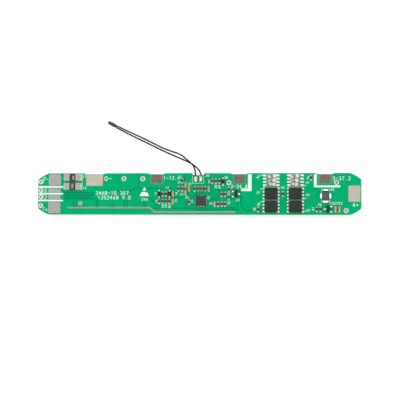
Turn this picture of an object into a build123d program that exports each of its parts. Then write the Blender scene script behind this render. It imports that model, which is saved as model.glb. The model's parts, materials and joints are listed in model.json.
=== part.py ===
from build123d import *
import os
from math import cos, pi, radians, sin, tan

# A battery management board for a slim pack of four cells in a row: a long, narrow circuit
# board with its components on the upper face and a thermistor on two leads.
# Millimetres. X runs along the board, Y across it and Z up. The origin is at the middle of
# the board's underside, which lies on the surface that the part rests on.

os.makedirs("parts", exist_ok=True)

# Board
board_length = 125.0
board_width = 16.0
board_thickness = 1.6
corner_reach = 4.2          # how far in along the long edge a corner's cut begins
corner_drop = 2.45          # how far along the end it takes off
corner_bulge = 0.26         # how far the cut's arc stands out from a straight line
recess_depth = 0.4          # of the shallow recesses beside the lands on the far edge
recess_margin = 0.25        # floor of a recess past each end of its land
recess_slant = 0.9          # length of a recess's slanted end
notch_depth = 0.8           # of the notch that the thermistor's leads pass over
notch_floor = 4.1
notch_mouth = 5.0

# Copper with its tin, ink and the solder that holds the parts
land_thickness = 0.08
ink_thickness = 0.03
edge_gap = 0.12             # between a land and the edge or recess beside it

# Plated wire holes
hole_radius = 0.5
ring_radius = 0.95          # of the tinned ring round each hole on the upper face
ring_sides = 14

# Places are given from the middle of the board, in hundredths of its length along it and of
# its width across it, so that the groups of parts spread out or close up with it.
station = board_length / 100
row = board_width / 100
left_end, right_end = -board_length / 2, board_length / 2
far_edge = board_width / 2
board_top = board_thickness
land_top = board_top + land_thickness

# Output lands at the left end, with a printed bar between each and the next
bar_pitch = 2.68
bar_width = 0.6
bar_length = 9.8
bar_inset = 0.1
output_from_end = 6.55      # from the board's left end to the middle of the lands
output_length = 4.7
signal_width = 1.68
power_gap = 0.65            # from a bar's middle to the power land beyond it
power_edge = 0.45           # from a power land to the board's long edge
output_hole_from_end = 1.2
power_hole_out = 1.97       # from an outer bar's middle to the hole beyond it

# Lands along the far edge where the cells are joined: place, length, width and corner
cell_negative_from_end = 22.16
cell_negative = (left_end + cell_negative_from_end, 6.5, 4.4, 0.5)
tap_low = (-12.85 * station, 4.62, 3.6, 0)
tap_middle = (12.8 * station, 4.62, 3.65, 0)
tap_high = (39.0 * station, 4.68, 3.65, 0)
positive_length = 4.48
positive_width = 6.16
positive_edge = 0.4         # from the land to the board's right end

# Wire holes for the taps: station, long edge (1 far, -1 near) and distance in from it. Then a
# land for a test pin.
tap_holes = [(-23.06, 1, 2.1), (-17.16, 1, 2.2), (9.54, 1, 3.78), (42.5, 1, 3.7),
             (45.39, -1, 1.52)]
test_place = (-36.64, -23.25)
test_radius = 0.85

# Tinned rail that carries the current along the near edge
rail_width = 0.6
rail_height = 0.16
rail_places = [(-40.64, -33.88), (-14.82, -33.88), (-13.34, -44.25), (11.66, -44.25)]

# Printed corner marks beside two of the taps
mark_middle = dict(gap=1.0, upright=1.38, foot=1.0, reach=4.05, below=1.8)
mark_high = dict(gap=0.82, upright=1.06, foot=0.7, reach=10.0, below=0.65)

# Current shunts, one above the other
shunt_from_end = 13.6       # from the board's left end to the middle of the shunts
shunt_length = 6.4
shunt_width = 2.7
shunt_height = 0.62
shunt_terminal = 2.05
shunt_pitch = 3.5
shunt_edge = 0.32           # from the upper shunt to the board's edge
strip_thickness = 0.25
strip_inset = 0.2           # the strip is this much narrower on each side
coat_height = 0.68
shunt_land_beyond = 0.4

# Power transistors, six places in two columns, with the top place of each left empty
lead_pitch = 1.27
package_leads = 4
package_pitch = package_leads * lead_pitch
bank_columns = [(22.57, 0), (30.0, 180)]
bank_place = 0.56
power_body = (4.95, 4.5, 1.0)
power_span = 6.1
power_draft = 6
lead_width = 0.44
frame_thickness = 0.25
drain_plate = (3.7, 3.9)
drain_land_length = 3.35
drain_land_start = -1.35    # from the package's middle to the near end of its drain land
power_land_width = 0.75
power_land_beyond = 0.2
lead_inside = 0.7           # how far a source lead reaches in under the body
dimple_radius = 0.3
dimple_sides = 8
dimple_depth = 0.08
dimple_inset = 0.62

# Controller in a flat square package with contacts on its underside
controller_place = (1.0, -17.06)
controller_side = 4.0
controller_height = 0.8
contact_count = 6
contact_pitch = 0.5
contact_width = 0.25
contact_length = 0.4
contact_height = 0.2
thermal_side = 2.5
contact_land_beyond = 0.3

# Small transistors with three bent leads
small_body = (1.35, 2.65, 0.95)
small_span = 2.5
small_pitch = 0.95
small_lead = (0.4, 0.13)
small_places = [(11.78, -0.88, 0), (39.92, -37, 180)]

# Diodes with two bent leads
diode_body = (1.25, 1.7, 0.85)
diode_span = 2.6
diode_lead = (0.32, 0.12)

# Bodies with bent leads
stand_off = 0.06
body_draft = 7
lead_bend = 0.1             # the corner that each bend of a lead cuts off
lead_embed = 0.25
lead_foot = 0.32

# Chip resistors and capacitors
chip_length = 1.6
chip_width = 0.8
resistor_height = 0.45
capacitor_height = 0.75
chip_cap = 0.32             # length of the metal cap on each end
cap_wall = 0.04
coat_thickness = 0.03
chip_pitch = 1.35
chip_land_under = 0.35
chip_land_beyond = 0.34
chip_fillet = 0.22

# Groups of chips: a station along the board, then each chip's column, place across and kind
chip_groups = [
    (-9.84, [(-2, -0.62, "diode"), (-1, -0.62, "resistor"), (0, -0.62, "resistor"),
             (1, -0.62, "diode"), (2, -0.62, "capacitor"), (-2, -18.56, "resistor"),
             (-1, -18.56, "resistor"), (0, -18.56, "resistor"), (1, -18.56, "resistor"),
             (2, -18.56, "capacitor")]),
    (-3.77, [(-1, 31.5, "resistor"), (-2, 12.12, "resistor"), (-1, 12.12, "resistor"),
             (0, 20.94, "capacitor"), (0, 2.81, "capacitor"), (1, 12.12, "capacitor"),
             (1.1, -19.94, "resistor")]),
    (1.2, [(-2, 11.88, "resistor"), (-1, 11.88, "resistor"), (0, 11.88, "resistor"),
           (1, 11.88, "resistor"), (2, 11.88, "capacitor")]),
    (6.08, [(-1.5, 30.62, "resistor"), (-0.5, 30.62, "resistor"), (0.5, 30.62, "resistor"),
            (1.56, 29.38, "diode")]),
    (7.36, [(0, -1.38, "resistor"), (1, -1.38, "resistor"), (2, 10.44, "resistor"),
            (2, -8.88, "resistor"), (-2, -25, "capacitor"), (-1, -25, "resistor"),
            (0, -25, "resistor"), (1, -25, "resistor")]),
    (18.58, [(0, -38.12, "resistor")]),
    (26.21, [(0, -0.62, "resistor")]),
    (34.77, [(0, 38.56, "resistor")]),
    (37.02, [(-0.5, -37.31, "resistor"), (0.5, -37.31, "resistor")]),
    (42.78, [(-0.56, -37.44, "capacitor"), (0.56, -37.44, "capacitor")]),
]

# Fuse that the controller can blow: a ceramic tile with four end plates under a dark cap
fuse_place = (39.2, -5.12)
fuse_size = (3.0, 4.0, 0.5)
fuse_end_width = 2.0
fuse_side_width = 1.9
fuse_plate = 0.45
fuse_wall = 0.05
fuse_cap = (2.75, 3.7, 0.42)
fuse_cap_edge = 0.12
fuse_land_beyond = 0.55
fuse_fillet = 0.2

# Thermistor: two solder joints, two insulated leads and a bead at their end
joint_places = [(-0.9, 5.6), (0.99, 5.7)]
joint_land = (1.75, 2.35)
joint_dome = (0.82, 1.1, 0.86)
stub_radius = 0.17
lead_diameter = 0.6
lead_sides = 8
bead_radius = 0.8
bead_length = 4.25
bead_rim = 0.12
round_sides = 10            # facets round the solder domes and the bead
round_steps = 3             # and from the foot of a dome, or the bead's side, to its tip
arc_share = 0.45            # of the shorter run, taken by each arc of a lead

# Routes of the leads, from the solder joint to the bead: up over the notch, one across the
# other, down to the surface that the board lies on, and side by side into the bead
lead_routes = [
    [(-0.98, 6.75, 2.25), (-0.93, 7.75, 2.58), (-1.02, 8.8, 2.45), (-1.4, 9.95, 1.85),
     (-2.12, 11.25, 1.15), (-3.3, 12.5, 0.62), (-4.65, 13.55, 0.34), (-5.95, 14.75, 0.3),
     (-7.6, 15.8, 0.3), (-10.4, 16.7, 0.3), (-14.2, 18.1, 0.3), (-19.0, 20.6, 0.3),
     (-24.2, 23.1, 0.3), (-27.9, 24.75, 0.42), (-30.48, 25.94, 0.8), (-31.8, 26.66, 0.8)],
    [(1.31, 6.9, 2.25), (1.05, 7.9, 2.62), (0.45, 9.05, 2.72), (-0.55, 10.15, 2.4),
     (-1.95, 11.3, 1.95), (-3.75, 12.35, 1.45), (-5.9, 13.4, 0.85), (-8.3, 14.45, 0.42),
     (-11.3, 15.8, 0.3), (-15.5, 17.7, 0.3), (-20.3, 20.15, 0.3), (-25.2, 22.45, 0.3),
     (-28.6, 24.2, 0.5), (-30.816, 25.324, 0.8), (-32.136, 26.044, 0.8)],
]

nodes = {}


def add(name, *shapes):
    """Puts the solids of some shapes into the node of that name."""
    for shape in shapes:
        nodes.setdefault(name, []).extend(shape.solids())


def slab(x, y, z, length, width, height, corner=0):
    """A flat block that stands at height z, with its upright edges rounded."""
    outline = RectangleRounded(length, width, corner) if corner else Rectangle(length, width)
    return Pos(x, y, z) * extrude(outline, height)


def joint(under, beyond, width, rise):
    """A land with its solder: the lead's end stands at x = 0 and the solder runs down from it."""
    side = [(-under, 0), (beyond, 0), (beyond, land_thickness), (0, land_thickness + rise),
            (0, land_thickness), (-under, land_thickness)]
    profile = Plane.XZ * make_face(Polyline(*side, close=True))
    return extrude(profile, width / 2, both=True)


def gull_lead(start, span, width, thickness, height):
    """A bent lead that leaves a body at x = start and stands on its foot out to x = span."""
    middle = thickness / 2
    shoulder = start + lead_bend + middle
    ankle = span - lead_foot
    drop = Vector(ankle - shoulder, middle - height).normalized() * lead_bend
    path = Polyline((start - lead_embed, height), (shoulder - lead_bend, height),
                    (shoulder + drop.X, height + drop.Y), (ankle - drop.X, middle - drop.Y),
                    (ankle + lead_bend, middle), (span, middle))
    profile = Plane.XZ * trace(path, thickness)
    return extrude(profile, width / 2, both=True)


def moulded_body(size, height):
    """A moulded body, drafted up and down from the parting line where its leads leave."""
    length, width, total = size
    line = Rectangle(length, width)
    upper = extrude(line, total - height, taper=body_draft)
    lower = extrude(line, -height, taper=body_draft)
    return Pos(Z=height) * (upper + lower)


def edge_recess(x, floor, mouth, depth):
    """The outline of a recess in the far edge, with slanted ends."""
    outside = far_edge + depth
    return make_face(Polyline((x - mouth / 2, outside), (x - mouth / 2, far_edge),
                              (x - floor / 2, far_edge - depth),
                              (x + floor / 2, far_edge - depth),
                              (x + mouth / 2, far_edge), (x + mouth / 2, outside), close=True))


def hole_places():
    """The places of the wire holes: four at the left end, then the taps."""
    power_y = bar_pitch + power_hole_out
    outputs = [(left_end + output_hole_from_end, y) for y in
               (power_y, bar_pitch / 2, -bar_pitch / 2, -power_y)]
    return outputs, [(x * station, edge * (far_edge - inset)) for x, edge, inset in tap_holes]


def cut_corner(side, edge):
    """The outline of what a corner's shallow arc takes off the board's rectangle."""
    start = Vector(side * (board_length / 2 - corner_reach), edge * far_edge)
    end = Vector(side * board_length / 2, edge * (far_edge - corner_drop))
    outward = Vector(side * corner_drop, edge * corner_reach).normalized()
    arc = ThreePointArc(start, (start + end) / 2 + outward * corner_bulge, end)
    return make_face(arc + Polyline(end, (side * board_length / 2, edge * far_edge), start))


def circuit_board():
    """The board: cut corners, recesses, a notch and drilled holes."""
    outline = Rectangle(board_length, board_width)
    for side in (-1, 1):
        for edge in (-1, 1):
            outline -= cut_corner(side, edge)
    for x, length, _, _ in (cell_negative, tap_low, tap_middle, tap_high):
        floor = length + 2 * recess_margin
        outline -= edge_recess(x, floor, floor + 2 * recess_slant, recess_depth)
    notch_x = sum(x for x, _ in joint_places) / len(joint_places)
    outline -= edge_recess(notch_x, notch_floor, notch_mouth, notch_depth)
    board = extrude(outline, board_thickness)
    outputs, taps = hole_places()
    for x, y in outputs + taps:
        board -= Pos(x, y) * extrude(Circle(hole_radius), board_thickness)
    return board


def eyelet(x, y):
    """The tinned ring round a wire hole on the upper face."""
    ring = RegularPolygon(ring_radius, ring_sides) - Circle(hole_radius)
    return Pos(x, y, board_top) * extrude(ring, land_thickness)


def output_lands():
    """The two power lands and two signal lands at the left end, and the bars between them."""
    inner = bar_pitch + power_gap
    outer = far_edge - power_edge
    output_x = left_end + output_from_end
    for name, side in (("land_output_positive", -1), ("land_output_negative", 1)):
        add(name, slab(output_x, side * (inner + outer) / 2, board_top,
                       output_length, outer - inner, land_thickness))
    for name, side in (("land_signal_c", -1), ("land_signal_d", 1)):
        add(name, slab(output_x, side * bar_pitch / 2, board_top,
                       output_length, signal_width, land_thickness))
    for bar in (-1, 0, 1):
        add("separator_bars", slab(left_end + bar_inset + bar_length / 2, bar * bar_pitch,
                                   board_top, bar_length, bar_width, ink_thickness))


def cell_land(name, x, length, width, corner):
    """A land on the far edge, beside its recess."""
    y = far_edge - recess_depth - edge_gap - width / 2
    add(name, slab(x, y, board_top, length, width, land_thickness, corner))
    return y - width / 2


def corner_mark(name, tap, bottom, side, foot_side, mark):
    """A printed corner mark: an upright beside a tap's land and a foot below it."""
    x, length, _, _ = tap
    inner = x + side * (length / 2 + mark["gap"])
    outer = inner + side * mark["upright"]
    foot_top = bottom - mark["below"]
    top = far_edge - power_edge
    upright = slab((inner + outer) / 2, (top + foot_top - mark["foot"]) / 2, board_top,
                   mark["upright"], top - foot_top + mark["foot"], ink_thickness)
    foot = slab(outer + foot_side * mark["reach"] / 2, foot_top - mark["foot"] / 2, board_top,
                mark["reach"], mark["foot"], ink_thickness)
    add(name, upright + foot)


def solder_rail():
    """The tinned rail: a straight run, a step towards the near edge and a longer run."""
    line = Polyline(*[(x * station, y * row) for x, y in rail_places])
    return Pos(Z=board_top) * extrude(trace(line, rail_width), rail_height)


def shunt(name, y):
    """A metal strip shunt: thick tinned ends, a thinner raised strip and the coat round it."""
    middle = shunt_length - 2 * shunt_terminal
    lift = (shunt_height - strip_thickness) / 2
    element = slab(0, 0, lift, shunt_length, shunt_width - 2 * strip_inset, strip_thickness)
    for side in (-1, 1):
        element += slab(side * (shunt_length - shunt_terminal) / 2, 0, 0,
                        shunt_terminal, shunt_width, shunt_height)
    coat = slab(0, 0, lift / 2, middle, shunt_width, coat_height - lift / 2) - element
    shunt_x = left_end + shunt_from_end
    place = Pos(shunt_x, y, land_top)
    add(name + "_element", place * element)
    add(name + "_coat", place * coat)
    for turn in (0, 180):
        add("shunt_joints", Pos(shunt_x, y, board_top) * Rot(Z=turn)
            * Pos(X=shunt_length / 2) * joint(shunt_terminal, shunt_land_beyond,
                                              shunt_width, shunt_height / 2))


def lead_rows():
    """The places across a power package of its four leads."""
    return [(lead - (package_leads - 1) / 2) * lead_pitch for lead in range(package_leads)]


def drain_land():
    """The large land of a package, with a tab for each of its four drain leads."""
    end = power_span / 2 + power_land_beyond
    plate_end = drain_land_start + drain_land_length
    width = package_pitch - lead_pitch + power_land_width
    land = slab((drain_land_start + plate_end) / 2, 0, 0, drain_land_length, width,
                land_thickness)
    for y in lead_rows():
        land += slab((plate_end + end) / 2, y, 0, end - plate_end, power_land_width,
                     land_thickness)
    return land


def empty_place(name, place):
    """The tinned lands of a place that holds no package."""
    end = power_span / 2 + power_land_beyond
    length = lead_inside + power_land_beyond + (power_span - power_body[0]) / 2
    add(name, place * Pos(Z=board_top) * drain_land())
    for y in lead_rows():
        add(name, place * slab(length / 2 - end, y, board_top, length, power_land_width,
                               land_thickness))


def power_package(name, place):
    """A power transistor: a drafted body over its lead frame, soldered down by every lead."""
    length, width, height = power_body
    half = power_span / 2
    plate_x = drain_land_start + drain_plate[0] / 2
    frame = [slab(plate_x, 0, 0, *drain_plate, frame_thickness)]
    lead_length = lead_inside + (power_span - length) / 2
    for y in lead_rows():
        tab_start = drain_land_start + drain_plate[0]
        frame[0] += slab((tab_start + half) / 2, y, 0, half - tab_start, lead_width,
                         frame_thickness)
        frame.append(slab(lead_length / 2 - half, y, 0, lead_length, lead_width,
                          frame_thickness))
    body = extrude(Rectangle(length, width), height, taper=power_draft)
    for piece in frame:
        body -= piece
    dimple = Pos(dimple_inset - length / 2, width / 2 - dimple_inset, height - dimple_depth)
    body -= dimple * extrude(RegularPolygon(dimple_radius, dimple_sides), height)
    raised = place * Pos(Z=land_top)
    add(name + "_body", raised * body)
    for piece in frame:
        add(name + "_leads", raised * piece)
    wedge = joint(power_land_beyond, power_land_beyond, power_land_width, frame_thickness * 0.7)
    land = drain_land()
    for y in lead_rows():
        land += Pos(half, y, 0) * wedge
        source = joint(lead_length, power_land_beyond, power_land_width, frame_thickness * 0.7)
        add("power_joints", place * Pos(-half, y, board_top) * Rot(Z=180) * source)
    add("power_joints", place * Pos(Z=board_top) * land)


def power_bank():
    """Two columns of three places: the top one empty and a package in each of the others."""
    number = 0
    for column, (x, turn) in enumerate(bank_columns):
        for level in (1, 0, -1):
            place = Pos(x * station, bank_place * row + level * package_pitch) * Rot(Z=turn)
            if level == 1:
                empty_place(("spare_lands_left", "spare_lands_right")[column], place)
            else:
                number += 1
                power_package("power_transistor_%d" % number, place)


def controller():
    """The controller: a sawn square body, contacts round its underside and a middle plate."""
    x, y = controller_place[0] * station, controller_place[1] * row
    half = controller_side / 2
    contacts = [slab(0, 0, 0, thermal_side, thermal_side, contact_height)]
    lands = [slab(0, 0, 0, thermal_side, thermal_side, land_thickness)]
    for turn in range(4):
        for place in range(contact_count):
            along = (place - (contact_count - 1) / 2) * contact_pitch
            edge = Rot(Z=90 * turn) * Pos(half, along)
            contacts.append(edge * slab(-contact_length / 2, 0, 0,
                                        contact_length, contact_width, contact_height))
            lands.append(edge * joint(contact_length, contact_land_beyond,
                                      contact_width, contact_height / 2))
    body = slab(0, 0, 0, controller_side, controller_side, controller_height)
    for contact in contacts:
        body -= contact
    raised = Pos(x, y, land_top)
    add("controller_body", raised * body)
    for contact, land in zip(contacts, lands):
        add("controller_contacts", raised * contact)
        add("controller_joints", Pos(x, y, board_top) * land)


def bent_lead_part(name, place, size, span, lead, rows):
    """A small moulded part on bent leads. Each row gives a lead's side and place along it."""
    width, thickness = lead
    height = stand_off + size[2] / 2
    body = Pos(Z=stand_off) * moulded_body(size, size[2] / 2)
    raised = place * Pos(Z=land_top)
    for side, along in rows:
        turn = Rot(Z=0 if side > 0 else 180) * Pos(Y=side * along)
        bent = turn * gull_lead(size[0] / 2, span / 2, width, thickness, height)
        body -= bent
        add(name + "_leads", raised * bent)
        add("lead_joints", place * Pos(Z=board_top) * turn * Pos(X=span / 2)
            * joint(lead_foot, chip_land_beyond, width * 1.6, thickness))
    add(name + "_body" if "diode" not in name else "diode_bodies", raised * body)


def chip(kind, place):
    """A chip resistor or capacitor, long way across the board, with a solder joint at each end."""
    resistor = kind == "resistor"
    height = resistor_height if resistor else capacitor_height
    width = chip_width if resistor else chip_width - 2 * cap_wall
    core = slab(0, 0, cap_wall, chip_length - 2 * cap_wall, width, height - 2 * cap_wall)
    raised = place * Pos(Z=land_top)
    add(kind + "_cores", raised * core)
    for turn in (0, 180):
        cap = slab((chip_length - chip_cap) / 2, 0, 0, chip_cap, chip_width, height)
        add(kind + "_caps", raised * Rot(Z=turn) * (cap - core))
        add("chip_joints", place * Pos(Z=board_top) * Rot(Z=turn) * Pos(X=chip_length / 2)
            * joint(chip_land_under, chip_land_beyond, chip_width, chip_fillet))
    if resistor:
        add("resistor_coats", raised * slab(0, 0, height - cap_wall, chip_length - 2 * chip_cap,
                                            chip_width, coat_thickness))


def chips():
    """Every chip and diode of the groups."""
    for anchor, members in chip_groups:
        for column, y, kind in members:
            place = Pos(anchor * station + column * chip_pitch, y * row) * Rot(Z=90)
            if kind == "diode":
                bent_lead_part("diode", place, (diode_body[1], diode_body[0], diode_body[2]),
                               diode_span, diode_lead, [(1, 0), (-1, 0)])
            else:
                chip(kind, place)


def fuse():
    """The fuse: a ceramic tile with a plate on each edge, and the cap that covers the link."""
    x, y = fuse_place[0] * station, fuse_place[1] * row
    length, width, height = fuse_size
    tile = slab(0, 0, fuse_wall, length - 2 * fuse_wall, width - 2 * fuse_wall,
                height - fuse_wall)
    cap = slab(0, 0, height, *fuse_cap)
    cap = chamfer(cap.edges().filter_by(Axis.Z), fuse_cap_edge)
    cap = chamfer(cap.edges().group_by(Axis.Z)[-1], fuse_cap_edge)
    raised = Pos(x, y, land_top)
    add("fuse_tile", raised * tile)
    add("fuse_cap", raised * cap)
    for turn in range(4):
        out, across = (length, fuse_side_width) if turn % 2 == 0 else (width, fuse_end_width)
        side = Rot(Z=90 * turn)
        plate = side * slab((out - fuse_plate) / 2, 0, 0, fuse_plate, across, height)
        add("fuse_plates", raised * (plate - tile))
        add("fuse_joints", Pos(x, y, board_top) * side * Pos(X=out / 2)
            * joint(fuse_plate, fuse_land_beyond, across, fuse_fillet))


def oval(height, half_length, half_width):
    """A faceted oval outline at a height."""
    turns = [2 * pi * side / round_sides for side in range(round_sides)]
    points = [(half_length * cos(turn), half_width * sin(turn)) for turn in turns]
    return Pos(Z=height) * make_face(Polyline(*points, close=True))


def rounded(shank, half_length, half_width, rise):
    """A straight shank under a domed end, as a loft through smaller and smaller ovals."""
    sections = [oval(0, half_length, half_width)] if shank else []
    for step in range(round_steps):
        turn = radians(90 * step / (round_steps - 0.5))
        sections.append(oval(shank + rise * sin(turn), half_length * cos(turn),
                             half_width * cos(turn)))
    return loft(sections, ruled=True)


def lead_path(points):
    """The middle line of a lead: straight runs joined by arcs as large as the runs allow."""
    radii = []
    for before, corner, after in zip(points, points[1:], points[2:]):
        run_in, run_out = corner - before, after - corner
        half_turn = radians(run_in.get_angle(run_out)) / 2
        radii.append(arc_share * min(run_in.length, run_out.length) / tan(half_turn))
    return FilletPolyline(*points, radius=radii), radii


def thermistor():
    """The thermistor: soldered stubs, two insulated leads and the bead at their end."""
    for number, (place, route) in enumerate(zip(joint_places, lead_routes), start=1):
        points = [Vector(*point) for point in route]
        path, radii = lead_path(points)
        start = Plane(origin=path @ 0, z_dir=path % 0)
        section = start * RegularPolygon(lead_diameter / 2, lead_sides)
        lead = sweep(section, path=path)
        add("thermistor_lead_%d" % number, lead)
        expected = section.area * path.length
        print("lead %d: %.1f mm, volume %.3f of %.3f mm3, radii" %
              (number, path.length, lead.volume, expected), ["%.1f" % r for r in radii])
        dome = Pos(*place, land_top) * rounded(0, *joint_dome)
        stub = Plane(origin=points[0], z_dir=points[0] - points[1]) * extrude(
            RegularPolygon(stub_radius, lead_sides), joint_dome[1])
        add("thermistor_joint_%d" % number, dome + stub)
        add("thermistor_lands", slab(*place, board_top, *joint_land, land_thickness))
    ends = [Vector(*route[-1]) for route in lead_routes]
    rear = (ends[0] + ends[1]) / 2
    heading = (ends[0] - Vector(*lead_routes[0][-2])).normalized()
    bead = Pos(Z=bead_rim) * rounded(bead_length - bead_radius - bead_rim,
                                     bead_radius, bead_radius, bead_radius)
    bead += loft([oval(0, *[bead_radius - bead_rim] * 2),
                  oval(bead_rim, bead_radius, bead_radius)], ruled=True)
    add("thermistor_bead", Plane(origin=rear, z_dir=heading).location * bead)


def build():
    """Makes every node of the part."""
    add("circuit_board", circuit_board())
    outputs, taps = hole_places()
    add("output_eyelets", *[eyelet(x, y) for x, y in outputs])
    add("tap_eyelets", *[eyelet(x, y) for x, y in taps])
    output_lands()
    cell_land("land_cell_negative", *cell_negative)
    cell_land("land_tap_low", *tap_low)
    middle_bottom = cell_land("land_tap_middle", *tap_middle)
    high_bottom = cell_land("land_tap_high", *tap_high)
    corner_mark("corner_mark_middle", tap_middle, middle_bottom, 1, -1, mark_middle)
    corner_mark("corner_mark_high", tap_high, high_bottom, -1, 1, mark_high)
    add("land_cell_positive", slab(right_end - positive_edge - positive_length / 2, 0, board_top,
                                   positive_length, positive_width, land_thickness))
    add("test_land", Pos(test_place[0] * station, test_place[1] * row, board_top)
        * extrude(RegularPolygon(test_radius, ring_sides), land_thickness))
    add("solder_rail", solder_rail())
    upper = far_edge - shunt_edge - shunt_width / 2
    shunt("shunt_upper", upper)
    shunt("shunt_lower", upper - shunt_pitch)
    power_bank()
    controller()
    for number, (x, y, turn) in enumerate(small_places, start=1):
        bent_lead_part("small_transistor_%d" % number, Pos(x * station, y * row) * Rot(Z=turn),
                       small_body, small_span, small_lead,
                       [(1, 0), (-1, small_pitch), (-1, -small_pitch)])
    chips()
    fuse()
    thermistor()


build()
for name, solids in nodes.items():
    shape = solids[0] if len(solids) == 1 else Compound(children=solids)
    export_step(shape, os.path.join("parts", name + ".step"))
print(len(nodes), "nodes,", sum(len(solids) for solids in nodes.values()), "solids")
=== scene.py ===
"""The battery management board: its finishes, solder, print, thermistor, light and camera.

Lengths in this file are millimetres, and one function turns them into Blender's metres. X runs
along the board, Y across it and Z up, from the middle of the board's underside.
"""

import json
import logging
import math
from dataclasses import dataclass, field
from enum import Enum
from typing import Any, Callable, Iterable, Mapping, Sequence

import bpy
import numpy as np
from mathutils import Matrix, Vector


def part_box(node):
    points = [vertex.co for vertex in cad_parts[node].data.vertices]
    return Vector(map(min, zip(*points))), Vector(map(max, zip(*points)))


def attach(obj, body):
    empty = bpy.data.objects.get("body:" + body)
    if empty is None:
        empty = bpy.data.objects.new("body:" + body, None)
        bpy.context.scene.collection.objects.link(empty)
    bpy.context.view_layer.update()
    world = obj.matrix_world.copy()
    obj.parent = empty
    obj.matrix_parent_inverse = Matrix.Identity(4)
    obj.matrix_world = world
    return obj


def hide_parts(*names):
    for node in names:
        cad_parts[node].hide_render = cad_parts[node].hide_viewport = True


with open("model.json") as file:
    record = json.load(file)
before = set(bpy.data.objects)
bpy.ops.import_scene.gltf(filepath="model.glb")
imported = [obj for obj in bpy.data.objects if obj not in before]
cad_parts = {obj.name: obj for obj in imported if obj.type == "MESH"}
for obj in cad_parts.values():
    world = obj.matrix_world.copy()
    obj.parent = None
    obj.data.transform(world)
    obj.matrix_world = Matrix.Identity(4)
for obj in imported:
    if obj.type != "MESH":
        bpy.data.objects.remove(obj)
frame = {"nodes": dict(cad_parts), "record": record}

LOG = logging.getLogger("battery_management_board")
MM = 0.001
BODY = "root"
PHOTO_WIDTH = 400

Array = np.ndarray
Tree = bpy.types.NodeTree
Socket = bpy.types.NodeSocket
Pair = tuple[float, float]
Triple = tuple[float, float, float]
Line = tuple[Pair, ...]
UP = np.array([0.0, 0.0, 1.0])
WHITE = (1.0, 1.0, 1.0, 1.0)

# Vertices that agree to this many decimals are one, and a solid's peak is this deep.
MERGE_DIGITS = 4
PEAK_DEPTH = 0.001
# How near a mound's innermost ring comes to its middle.
INNERMOST = 0.06
# How sharply a pad's corners are drawn in, and how many points round a slab's corner.
CORNER_POWER = 12
CORNER_POINTS = 5
# Lengths under this are nought.
TINY = 1e-6


def metres(values: Any) -> Array:
    """Millimetres, of any shape, as an array of metres."""
    return np.asarray(values, dtype=float) * MM


def linear(code: str) -> tuple[float, float, float, float]:
    """Turns an sRGB hex colour into the linear values that a shader takes.

    Args:
        code: Six hex digits, such as "05b276".

    Returns:
        Red, green, blue and an alpha of one.
    """
    parts = np.array([int(code[place:place + 2], 16) for place in (0, 2, 4)]) / 255
    low, high = parts / 12.92, ((parts + 0.055) / 1.055) ** 2.4
    red, green, blue = np.where(parts <= 0.04045, low, high)
    return float(red), float(green), float(blue), 1.0


def smoothstep(low: float, high: float, values: Array) -> Array:
    """A smooth rise from 0 at low to 1 at high: three times the square less twice the cube."""
    share = np.clip((values - low) / (high - low), 0, 1)
    return share * share * (3 - 2 * share)


def placed(name: str, data: Any) -> bpy.types.Object:
    """Adds an object to the scene.

    Args:
        name: The object's name.
        data: Its mesh, curve, lamp or camera.

    Returns:
        The new object.
    """
    made = bpy.data.objects.new(name, data)
    bpy.context.scene.collection.objects.link(made)
    return made


def round_turn(sides: int) -> Array:
    """The angles of the given number of places round a full turn, in radians."""
    return np.arange(sides) * (2 * math.pi / sides)


def at_height(line: Array, height: float) -> Array:
    """Points with two coordinates, as points at one height."""
    return np.column_stack([line, np.full(len(line), height)])


def between(low: float, high: float, blur: float, values: Array) -> Array:
    """One from low to high and nought beyond, with a smooth step of twice the blur at each end."""
    return (smoothstep(low - blur, low + blur, values)
            * (1 - smoothstep(high - blur, high + blur, values)))


def pillow(u: Array, v: Array, power: float) -> Array:
    """A rounded cushion over -1 to 1: the root of one less a power of u, by the same of v."""
    return np.sqrt(np.clip(1 - np.abs(u) ** power, 0, 1) * np.clip(1 - np.abs(v) ** power, 0, 1))


@dataclass(frozen=True)
class Box:
    """The lowest and highest corners of a part, in millimetres."""

    low: Array
    high: Array

    @classmethod
    def of(cls, node: str) -> "Box":
        """The box of a node of the frame."""
        low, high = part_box(node)
        return cls(np.array(low) / MM, np.array(high) / MM)

    @property
    def centre(self) -> Array:
        """The middle of the box."""
        return (self.low + self.high) / 2

    @property
    def size(self) -> Array:
        """The lengths of the box along X, Y and Z."""
        return self.high - self.low


@dataclass(frozen=True)
class Solid(Box):
    """One solid of a node: its box and the middle of its highest part."""

    peak: Array


def solids_of(node: str) -> list[Solid]:
    """Finds the separate solids of a node of the frame.

    Vertices at one place are taken as one, and each then takes the lowest number among its
    neighbours, again and again, until nothing changes: what shares a number is one solid.

    Args:
        node: The node's name.

    Returns:
        The solids, from left to right by their leftmost vertex.
    """
    mesh = frame["nodes"][node].data
    points = np.empty(len(mesh.vertices) * 3)
    mesh.vertices.foreach_get("co", points)
    edges = np.empty(len(mesh.edges) * 2, dtype=int)
    mesh.edges.foreach_get("vertices", edges)
    points = points.reshape(-1, 3) / MM
    _, owner = np.unique(np.round(points, MERGE_DIGITS), axis=0, return_inverse=True)
    owner = owner.reshape(-1)
    ends = owner[edges.reshape(-1, 2)]
    label = np.arange(owner.max() + 1)
    while True:
        lowest = np.minimum(label[ends[:, 0]], label[ends[:, 1]])
        fresh = label.copy()
        np.minimum.at(fresh, ends[:, 0], lowest)
        np.minimum.at(fresh, ends[:, 1], lowest)
        if np.array_equal(fresh, label):
            break
        label = fresh
    found = []
    for number in np.unique(label):
        own = points[label[owner] == number]
        top = own[own[:, 2] > own[:, 2].max() - PEAK_DEPTH]
        found.append(Solid(own.min(axis=0), own.max(axis=0), top.mean(axis=0)))
    return found


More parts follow.
